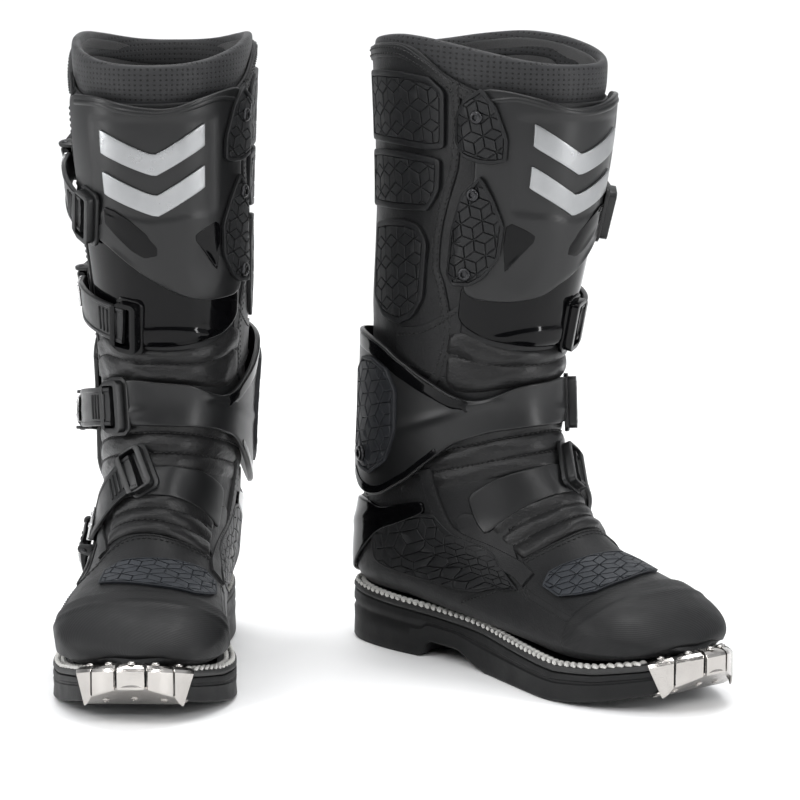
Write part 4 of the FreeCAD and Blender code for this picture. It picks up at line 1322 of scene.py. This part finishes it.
def shin_plate():
    rows = [(60, 13, 146), (45, 14, 149), (28, 18, 150), (12, 23, 146), (0, 23, 138), (-15, 20, 126),
            (-30, 17, 114), (-44, 17, 106), (-55, 18, 98)]
    shape = plate(rows, 3.2, rounded(5.8, 1.1), 2.4, corner=7.0, relief=shin_relief)
    edge = [(22, 57), (19, 40), (23.5, 22), (27, 4), (24.5, -15), (21.5, -30), (22, -48)]
    shape.join(strip(edge, 5.5, 3.2, 0.75), receiver(1))
    put("shin_plate", shape, "satin")
    scoops = (
        [(-29, 88, 99), (-22, 90, 107), (-12, 96, 117), (-4, 104, 122), (3, 113, 121)],
        [(24, 106, 110), (30, 102, 118), (38, 98, 130), (41, 100, 112)],
        [(-50, 84, 92), (-44, 86, 98), (-36, 89, 101), (-32, 92, 100)],
    )
    facets = joined([plate(rows, 4.6, rounded(6.15, 0.35), 2.0, corner=1.0, relief=shin_relief, linear=True)
                     for rows in scoops])
    add("shin_plate_facets", facets, "gloss", "shin_plate")


def mid_plate():
    rows = [(62, 138, 164), (45, 136, 175), (20, 132, 182), (0, 124, 184), (-20, 112, 182), (-40, 101, 172),
            (-56, 96, 162)]

    def relief(s, phi):
        return 1.5 * step_up(s - 0.004 * (phi - 5) ** 2, 170, 5) + 0.9 * bump(s, phi, 168, -22, 22, 26)

    shape = plate(rows, 0.5, rounded(2.9, 1.0), 2.4, corner=6.0, relief=relief)
    put("mid_plate", shape.join(receiver(2)), "gloss")


def frame_relief(s, phi):
    """A raised boss under the strap's receiver, and a rib along the wing."""
    boss = 1.1 * bump(s, phi, 229, -28, 19, 30, 3.0)
    rib = 0.9 * ridge(s, 222 + 0.20 * np.abs(phi - 40), 3.2) * step_up(np.abs(phi - 10), 22, 12)
    return boss + rib * (1 - step_up(np.abs(phi), 150, 20))


def ankle_frame():
    rows = [(-42, 212, 241, 0), (-20, 209, 243, 0), (0, 211, 244, 0), (20, 213, 244, 0), (40, 219, 244, 0),
            (52, 219, 246, 0.5), (62, 214, 248, 1), (72, 206, 254, 1.5), (82, 198, 261, 2.2),
            (92, 189, 268, 2.8), (103, 180, 271, 3), (118, 174, 266, 3), (132, 171, 256, 3),
            (150, 170, 244, 3), (180, 172, 238, 3), (210, 170, 244, 3), (228, 171, 256, 3),
            (242, 174, 266, 3), (254, 180, 268, 3), (262, 188, 264, 3)]
    shape = plate(rows, 2.6, rounded(5.4, 1.3), 2.6, corner=7.0, relief=frame_relief)
    put("ankle_frame", shape.join(receiver(3)), "satin")
    edges = Shape()
    for first, last in ((46, 136), (226, 261)):
        upper = [(phi, a + 0.9, a + 10.5 - 0.03 * abs(phi - 90), lift) for phi, a, _, lift in rows
                 if first < phi < last]
        lower = [(phi, b - 5.5, b - 0.9, lift) for phi, _, b, lift in rows if first + 20 < phi < last]
        for band, height, radius in ((upper, 6.0, 0.6), (lower, 5.9, 0.5)):
            if len(band) > 2:
                profile = rounded(height, radius)
                edges.join(plate(band, 4.6, profile, 2.6, corner=2.0, relief=frame_relief))
    add("frame_gloss_edges", edges, "gloss", "ankle_frame")


def heel_cup():
    rows = [(84, 283, 290), (94, 280, 291), (106, 278, 291), (120, 272, 296), (140, 268, 302),
            (180, 266, 306), (220, 268, 302), (240, 272, 296), (254, 278, 291), (266, 280, 291),
            (276, 283, 290)]
    shape = plate(rows, 0.4, rounded(3.0, 0.9), 2.4, corner=2.5, relief=lambda s,
                  _: 0.8 * ridge(s, 279, 3.0))
    put("heel_cup", shape, "gloss")


def instep_plate():
    rows = [(-36, 284, 302), (-26, 281.5, 303), (0, 279, 303), (20, 279, 304), (40, 281, 309),
            (60, 288, 321)]
    shape = plate(rows, 0.6, rounded(3.0, 0.9), 2.2, corner=4.0,
                  relief=lambda s, phi: 0.7 * bump(s, phi, 292, -8, 13, 34, 3.0))
    put("instep_plate", shape.join(receiver(4)), "satin")


def chevron(rise):
    """One chevron of the badge: a band bent at its middle, with mitred ends."""
    rows = [(-27, 38 + rise, 52 + rise), (-26.2, 37.5 + rise, 53 + rise), (2.5, 53 + rise, 67 + rise),
            (30.2, 33.5 + rise, 48.5 + rise), (31, 34 + rise, 47.5 + rise)]
    return plate(rows, 4.8, rounded(6.6, 0.45), 2.6, linear=True)


def badge():
    put("chevron_badge", joined([chevron(0), chevron(27)]), "silver", "emblem")


def brackets():
    panels = joined([tiled_panel(rows, 6.2, 9.0, 7.7, size=7.5, border=2.4, corner=1.6, tilt=12, step=2.6)
                     for rows in (BRACKET_UPPER, BRACKET_LOWER)])
    put("shin_brackets", panels, "rubber")
    screws = joined([pan_screw(4.2, 1.9).moved(stand(s, 59, 8.8, (s, 39))) for s in (31, 80, 131)])
    put("bracket_screws", screws, "dark_steel")


# -------------------- rubber panels and pads

CALF = [
    [(77, 18, 53), (85, 10, 55), (100, 9, 54), (116, 10, 54), (130, 12, 54)],
    [(79, 60, 80), (85, 59, 93), (100, 58, 94), (116, 58, 94), (130, 60, 94)],
    [(84, 113, 149), (90, 102, 162), (98, 100, 166), (112, 101, 162), (124, 104, 150)],
]
ANKLE_RUBBER = [(92, 208, 234), (98, 194, 252), (110, 187, 258), (121, 186, 253), (130, 194, 238)]


def both_sides(rows, from_phi, heights, corners, border, tilt):
    """A panel on the inner side, and its part behind an angle again on the outer side."""
    back = [(-phi, a, b) for phi, a, b in rows if phi > from_phi]
    return joined([tiled_panel(part, *heights, border=border, corner=corner, tilt=turn)
                   for part, corner, turn in ((rows, corners[0], tilt), (back, corners[1], -tilt))])


def rubber_panels():
    panels = joined([both_sides(rows, 97, (0.2, 2.7, 1.6), (3.0, 4.0), 3.8, 8) for rows in CALF])
    put("calf_panels", panels, "rubber", "rubber_panels")
    pads = both_sides(ANKLE_RUBBER, 107, (8.0, 10.6, 9.3), (1.2, 1.2), 2.2, 32)
    add("ankle_pads", pads, "slate_dark", "rubber_panels")


def foot_pads():
    shift_rows = [(-31, 406, 430), (-18, 391, 433), (10, 389, 441), (38, 389, 442), (50, 391, 436),
                  (63, 404, 424)]
    grip_rows = [(66, 332, 346), (72, 312, 368), (79, 293, 394), (88, 289, 386), (96, 288, 360),
                 (104, 287, 322), (112, 286, 304)]
    shape = tiled_panel(shift_rows, 0.3, 2.7, 1.6, size=9.0, border=1.6, corner=1.5, tilt=6, lift_tiles=0.2)
    put("shift_pad", shape, "slate", "foot_pads")
    shape = tiled_panel(grip_rows, 0.3, 2.5, 1.3, size=9.0, border=2.2, corner=2.0, tilt=20)
    add("grip_panel", shape, "rubber", "foot_pads")


def toe_guard():
    rows = [(-102, 458, 504), (-90, 452, 509), (-60, 450, 511), (0, 450, 513.5), (60, 450, 511),
            (90, 452, 509), (102, 458, 504)]
    shape = plate(rows, 0.3, rounded(2.5, 1.0), 2.8, corner=4.0,
                  relief=lambda s, phi: 0.7 * ridge(s, 462 + 6 * np.cos(np.radians(phi)), 2.2))
    put("toe_guard", shape, "ribbed")


# -------------------- sole

# The sole: (x, z) of its feather edge and bottom, and (x, inner y, outer y) of its outline.
FEATHER = [(-20, 38.5), (0, 38), (40, 35), (90, 32.5), (140, 29.5), (190, 25.5), (232, 23), (262, 25),
           (290, 30), (330, 41)]
SOLE_HALF = [(0, 0, 0), (6, 22, -22), (26, 34, -35), (60, 38, -40), (105, 35, -42), (145, 36, -47),
             (185, 45, -54), (222, 53, -58), (250, 52, -54), (275, 43, -44), (296, 30, -31), (310, 14, -15),
             (315, 0, 0)]
BOTTOM = [(-20, 0), (88, 0), (94, 11), (122, 10), (138, 3), (150, 0), (226, 0), (250, 2.5), (274, 6.8),
          (295, 12), (330, 24)]
TOE_SLANT = ((316.0, 26.5), (295.0, 12.0))    # x, z of the toe's undercut, from the tip down
WELT_TOP_DROP = 0.3
WELT_THICK = 4.0


def feather(x):
    return np.interp(x, *np.array(FEATHER).T)


def bottom_of(x):
    return np.interp(x, *np.array(BOTTOM).T)


def slant_x(z):
    """How far forward the undercut toe reaches at a height."""
    (x1, z1), (x0, z0) = TOE_SLANT
    return x1 - (z1 - z) * (x1 - x0) / (z1 - z0)


def slant_z(x):
    """Height of the undercut at a distance."""
    (x1, z1), (x0, z0) = TOE_SLANT
    return z1 - (x1 - x) * (z1 - z0) / (x1 - x0)


def outline(count=190):
    """Evenly spaced plan points round the sole, along the inner side first, and outward directions."""
    inner = [(x, y) for x, y, _ in SOLE_HALF]
    outer = [(x, y) for x, _, y in SOLE_HALF[1:-1]]
    loop = np.array(inner + outer[::-1], float)
    ring = np.concatenate([loop[-3:], loop, loop[:3]])
    fine = between(np.arange(len(ring)), ring, np.linspace(3, 3 + len(loop), 1600, endpoint=False))
    closed = np.concatenate([fine, fine[:1]])
    run = run_along(closed)
    plan = at_run(np.linspace(0, run[-1], count, endpoint=False), run, closed)
    tangent = unit(np.roll(plan, -1, 0) - np.roll(plan, 1, 0))
    return plan, np.stack([-tangent[:, 1], tangent[:, 0]], 1)


SOLE_WALL = ((0.0, -14.0), (0.0, -1.2), (0.03, -0.3), (0.12, 0.0), (0.22, 0.0), (0.27, -0.9), (0.33, -0.9),
             (0.38, 0.0), (0.6, -0.3), (0.82, 0.0), (0.94, 0.1), (1.0, -0.8), (1.0, -8.0), (0.94, -9.0),
             (0.94, -26.0))    # share of the way down, outward
LUG_MARGIN = 9.5
LUG_HEIGHT = 3.4


def outsole():
    """Sole body: a wall with a lip, a groove and a flare, over lugs."""
    plan, out = outline()
    top = feather(plan[:, 0]) - WELT_THICK - 2 * WELT_TOP_DROP
    low = bottom_of(plan[:, 0])
    rows = []
    for share, grow in SOLE_WALL:
        xy = plan + out * grow
        z = top + (low - top) * share
        xy[:, 0] = np.minimum(xy[:, 0], slant_x(z) - 1.5)
        rows.append(np.column_stack([xy, z]))
    shape = rings(rows)
    inside = inside_of(plan, LUG_MARGIN)
    for x, y, w, h, turn in lug_places():
        c, n = math.cos(turn), math.sin(turn)
        corners = [(x + c * a - n * b, y + n * a + c * b)
                   for a, b in rounded_rect(-w / 2, w / 2, -h / 2, h / 2, 1.2, 2)]
        if all(inside(cx, cy) for cx, cy in corners):
            shape.join(lug(corners))
    put("outsole", shape, "sole")


def inside_of(plan, margin):
    """A test of whether a plan point lies inside the outline by a margin."""
    def test(x, y):
        d = plan - np.array([x, y])
        if np.hypot(*d.T).min() < margin:
            return False
        angle = np.arctan2(d[:, 1], d[:, 0])
        turn = np.diff(np.concatenate([angle, angle[:1]]))
        return abs(((turn + math.pi) % (2 * math.pi) - math.pi).sum()) > math.pi
    return test


def lug_places():
    """Tread: bars across the heel, and chevrons of bars under the forefoot."""
    found = [(x, y, 7.2, 17.0, 0.0) for x in range(14, 84, 11) for y in (-22, 0, 20)]
    for x in range(142, 290, 11):
        for y in (-42, -25, -8.5, 8.5, 25, 40):
            found.append((x + abs(y) * 0.16, y, 7.0, 13.0, math.copysign(0.2, -y)))
    return found


def lug(corners):
    ground = bottom_of(np.array([x for x, _ in corners]))
    points = [(x, y, g + up) for up in (LUG_HEIGHT, 0) for (x, y), g in zip(corners, ground)]
    return Shape().add(points, ends_and_walls(len(corners)))


WELT_SECTION = ((-11.5, 0.2), (-1.4, 0.0), (-0.5, 0.4), (0.0, 1.4), (0.0, 2.8), (-0.6, 3.7), (-1.6, 4.0),
                (-11.5, 4.0))    # outward, drop
WELT_PITCH = 5.4
WELT_THREAD_END = 290    # the clip covers the thread beyond it


def welt():
    """Welt strip round the sole's edge."""
    plan, out = outline()
    top = feather(plan[:, 0]) - WELT_TOP_DROP
    rows = [np.column_stack([plan + out * grow, top - drop]) for grow, drop in WELT_SECTION]
    put("welt", rings(rows, ends="wrap"), "welt")


def welt_thread():
    """Two rows of thick thread round the welt, up to the clip, that slant towards each other."""
    thread = Shape()
    fine, out = outline(480)
    run = run_along(fine)
    up = np.array([[0, 0, 1.0]])
    for row, (grow, slant) in enumerate(((-2.5, 0.8), (-6.2, -0.8))):
        for k in range(int(run[-1] / WELT_PITCH)):
            at = (k + 0.5 * row) * WELT_PITCH
            x, y = at_run(at, run, fine)
            if x > WELT_THREAD_END:
                continue
            o = unit(at_run(at, run, out))
            forward = unit(np.array([o[1] + slant * o[0] * 0.55, -o[0] + slant * o[1] * 0.55, 0.0]))
            middle = np.array([[x + o[0] * grow, y + o[1] * grow, feather(x) + 0.45]])
            side = unit(np.cross([0, 0, 1.0], forward))
            thread.join(capsules(middle, forward[None], side[None], up, 5.3, 2.5, sides=8))
    add("welt_thread", thread, "cord", "welt")


CLIP_START = 290.5
CLIP_TABS = 5
CLIP_GAP = 0.9


def toe_clip():
    """Steel clip: bent tabs with rivets, the wall below them, and a flange under the toe with screws."""
    plan, out = outline(720)
    front = plan[:, 0] > CLIP_START
    plan, out = plan[front], out[front]
    run = run_along(plan)
    shape, rivets = Shape(), Shape()
    for k in range(CLIP_TABS):
        start, end = (run[-1] * (k + j) / CLIP_TABS for j in (0, 1))
        start, end = start + CLIP_GAP / 2, end - CLIP_GAP / 2
        shape.join(clip_tab(plan, out, run, start, end, lean=(k == 0) - (k == CLIP_TABS - 1)))
        (x, y), (ox, oy) = (at_run((start + end) / 2, run, line) for line in (plan, out))
        rivet = turned([(2.6, 0.0), (2.6, 0.5), (2.1, 1.2), (1.2, 1.6), (0.4, 1.7)], 18)
        rivets.join(rivet.moved(shift(x - ox * 4.4, y - oy * 4.4, feather(x) + 1.35)))
    shape.join(clip_flange())
    (x1, z1), (x0, z0) = TOE_SLANT
    down = unit(np.array([x0 - x1, 0.0, z0 - z1]))
    turn = matrix_of(down, (0, 1, 0), (-down[2], 0, down[0]))
    for y in (-17, 0, 17):
        x = 301.0 - 0.008 * y * y
        screw = turned([(2.6, 0.2), (2.6, 0.9), (2.0, 1.5), (1.2, 1.5), (1.0, 0.8)], 18)
        rivets.join(screw.moved(shift(x, y, slant_z(x)) @ turn))
    put("toe_clip", shape, "steel", "toe_plate", sharp=25)
    put("toe_rivets", rivets, "steel", "toe_screws")


def clip_section(x, thick):
    """Side section of the clip at x: (outward, z) points down its outer face and up its inner one."""
    top = feather(x) + 1.2
    low = max(float(bottom_of(x)) - 0.6, slant_z(x) - 0.9)
    outer = [(-8.5, top + 0.3), (-1.6, top + 0.1), (0.7, top - 1.2), (1.7, top - 3.0), (1.7, low + 1.0),
             (1.2, low)]
    inner = [(-8.5, top + 0.3 - thick), (-2.0, top - thick), (-0.2, top - 2.0), (0.4, top - 3.4),
             (0.4, low + 1.0),
             (0.4, low + 0.3)]
    return outer + inner[::-1]


def clip_tab(plan, out, run, start, end, lean, thick=1.25):
    """One flat part of the clip's wall, with its narrower tab over the welt; an end part's side leans in."""
    o = unit(at_run((start + end) / 2, run, out))
    first, last = at_run(start, run, plan), at_run(end, run, plan)
    rows = []
    for share, squeeze in ((0.0, 0.5), (0.03, 0.0), (0.5, 0.0), (0.97, 0.0), (1.0, 0.5)):
        section = clip_section((first + (last - first) * share)[0], thick)
        heights = [z for _, z in section]
        ring = []
        for grow, z in section:
            narrow = 0.5 + (share - 0.5) * (0.62 if grow < -5 else 0.84 if grow < -1 else 1.0)
            deep = 0.6 * (max(heights) - z) / (max(heights) - min(heights))
            narrow += deep * (1 - narrow) if lean > 0 else -deep * narrow if lean < 0 else 0
            x, y = first + (last - first) * narrow + o * (0.7 - squeeze * 0.4)
            ring.append((x + o[0] * grow, y + o[1] * grow, z))
        rows.append(ring)
    return rings(rows)


def clip_flange(thick=1.2):
    """Plate on the undercut below the wall, its corners cut back, with a lip under the tread."""
    plan = outline(720)[0]
    x0, z0 = TOE_SLANT[1]
    front = plan[plan[:, 0] > x0 + 1.0]
    front = front[np.argsort(front[:, 1])]
    under = float(bottom_of(x0 - 4.0)) - 0.2
    rows = []
    for y in np.linspace(-31.0, 31.0, 25):
        x = float(np.interp(y, front[:, 1], front[:, 0])) + 1.2
        y_low = y * 0.9
        rows.append([(x, y, slant_z(x)), (x0, y_low, z0), (x0 - 4.0, y_low, under),
                     (x0 - 4.0, y_low, under - thick),
                     (x0 + 0.3, y_low, z0 - thick),
                     (x + thick * 0.5, y, slant_z(x + thick * 0.5) - thick * 0.8)])
    return rings(rows)


# -------------------- buckles

def buckles():
    made = [buckle_base(number) for number in (1, 2, 3)]
    ankle = [pan_screw(5.4, 2.2).moved(stand(s, phi, 10.7, (s + 20, phi))) for s,
             phi in ((245, 118), (245, -122))]
    put("buckle_bases", joined([m["base"] for m in made]), "satin", "shaft_fittings")
    add("buckle_pins", joined([m["steel"] for m in made] + ankle), "dark_steel", "shaft_fittings",
        slot="dark_steel")
    low = buckle_base(4)
    guard = [(-92, 330, 372), (-84, 334, 392), (-76, 344, 396), (-68, 360, 384)]
    base = low["base"].join(plate(guard, 0.2, rounded(3.2, 1.4), 2.4, corner=8.0))
    put("instep_buckle_base", base, "satin")
    add("instep_buckle_pin", low["steel"], "dark_steel", "instep_buckle_base", slot="dark_steel")
    for number in STRAPS:
        bar = lever(number)
        put(f"lever_{number}", bar["body"], "gloss")
        add(f"lever_patch_{number}", bar["patch"], "patch", f"lever_{number}", slot="brushed_silver")
        strap = strap_band(number)
        put(f"strap_{number}", strap["band"], "strap")
        add(f"strap_hook_{number}", strap["hook"], "patch", f"strap_{number}", slot="dark_steel")


def insole():
    """The one CAD node that stays, with a better material."""
    for side in SIDES:
        node = frame["nodes"][f"{side}_shankboard"]
        node.data.materials.clear()
        node.data.materials.append(LOOKS["board"])


# -------------------- room, light and camera

CAMERA_PLACE = (0.0085, -1.985, 0.4636)
CAMERA_PITCH = 8.4
CAMERA_LENS = 145.5
WORLD_FRONT = 0.1    # strength of the world's light from the front and from behind
WORLD_BACK = 0.75


def plain_look(name, color, rough):
    made, _, shader = material(name)
    shader["Base Color"].default_value = rgba(color)
    shader["Roughness"].default_value = rough
    return made


def room():
    """A pale floor that curves up into a pale wall."""
    bend = [(3.0 + 1.5 * math.sin(a), 1.5 - 1.5 * math.cos(a)) for a in np.linspace(0.1, math.pi / 2, 14)]
    run = [(-20.0, 0.0), (3.0, 0.0)] + bend + [(4.5, 6.0)]
    n = len(run)
    mesh = bpy.data.meshes.new("floor")
    mesh.from_pydata([(x, y, z - 0.0002) for x in (-20.0, 20.0) for y, z in run], [],
                     [(j, j + 1, n + j + 1, n + j) for j in range(n - 1)])
    mesh.polygons.foreach_set("use_smooth", [True] * len(mesh.polygons))
    mesh.materials.append(plain_look("pale_floor", (0.93, 0.93, 0.93), 0.6))
    placed("floor", mesh)


def placed(name, data, place=(0, 0, 0)):
    """A new object in the scene."""
    thing = bpy.data.objects.new(name, data)
    thing.location = place
    bpy.context.scene.collection.objects.link(thing)
    return thing


def softbox(name, place, aim, size, power):
    lamp = bpy.data.lights.new(name, "AREA")
    lamp.shape = "RECTANGLE"
    lamp.size, lamp.size_y = size
    lamp.energy = power
    turn = (Vector(aim) - Vector(place)).to_track_quat("-Z", "Y")
    placed(name, lamp, place).rotation_euler = turn.to_euler()


def studio_world():
    """White studio all round, dark towards the front where nothing is lit."""
    world = bpy.data.worlds.new("studio")
    world.use_nodes = True
    graph = Graph(world.node_tree)
    split = graph.nodes.new("ShaderNodeSeparateXYZ")
    graph.feed(split.inputs["Vector"], graph.add("TexCoord", "Generated", {}))
    background = graph.nodes["Background"].inputs
    background["Color"].default_value = (0.95, 0.97, 1.0, 1)
    graph.feed(background["Strength"], graph.ranged(split.outputs["Y"], WORLD_FRONT, WORLD_BACK, -0.95, 0.1))
    bpy.context.scene.world = world


def lights():
    """The white world and the softboxes: name, place, aim, size in metres and watts."""
    bpy.context.scene.view_settings.view_transform = "Standard"
    studio_world()
    softbox("key", (-1.3, -1.5, 1.7), (0, 0, 0.2), (0.35, 1.1), 16)
    softbox("right_strip", (1.5, -0.9, 0.6), (0, 0, 0.2), (0.14, 1.4), 14)
    softbox("left_strip", (-1.6, -0.4, 0.6), (0, 0, 0.2), (0.14, 1.4), 11)
    softbox("front_strip", (0.3, -2.1, 1.25), (0, 0, 0.15), (1.5, 0.14), 12)
    softbox("top", (0.1, 0.3, 2.3), (0, 0, 0.2), (1.6, 0.8), 34)
    softbox("floor_fill", (0.0, -1.6, 2.6), (0, -0.6, 0.0), (2.0, 0.5), 18)
    softbox("backdrop", (0.0, 1.6, 3.4), (0, 4.3, 1.4), (5.0, 0.8), 90)


def camera():
    lens = bpy.data.cameras.new("camera")
    lens.lens = CAMERA_LENS
    lens.sensor_width = 36.0
    lens.clip_end = 50.0
    holder = placed("camera", lens, CAMERA_PLACE)
    holder.rotation_euler = (math.radians(90 - CAMERA_PITCH), 0, 0)
    bpy.context.scene.camera = holder


BUILDERS = (camera, lights, room, shaft_leather, shaft_trim, lining, collar, foot_leather, foot_trim,
            padded_leather, ankle_skirt, shin_plate, mid_plate, ankle_frame, heel_cup, instep_plate,
            badge, brackets, rubber_panels, foot_pads, toe_guard, outsole, welt, welt_thread, toe_clip,
            buckles, insole)

for make in BUILDERS:
    make()
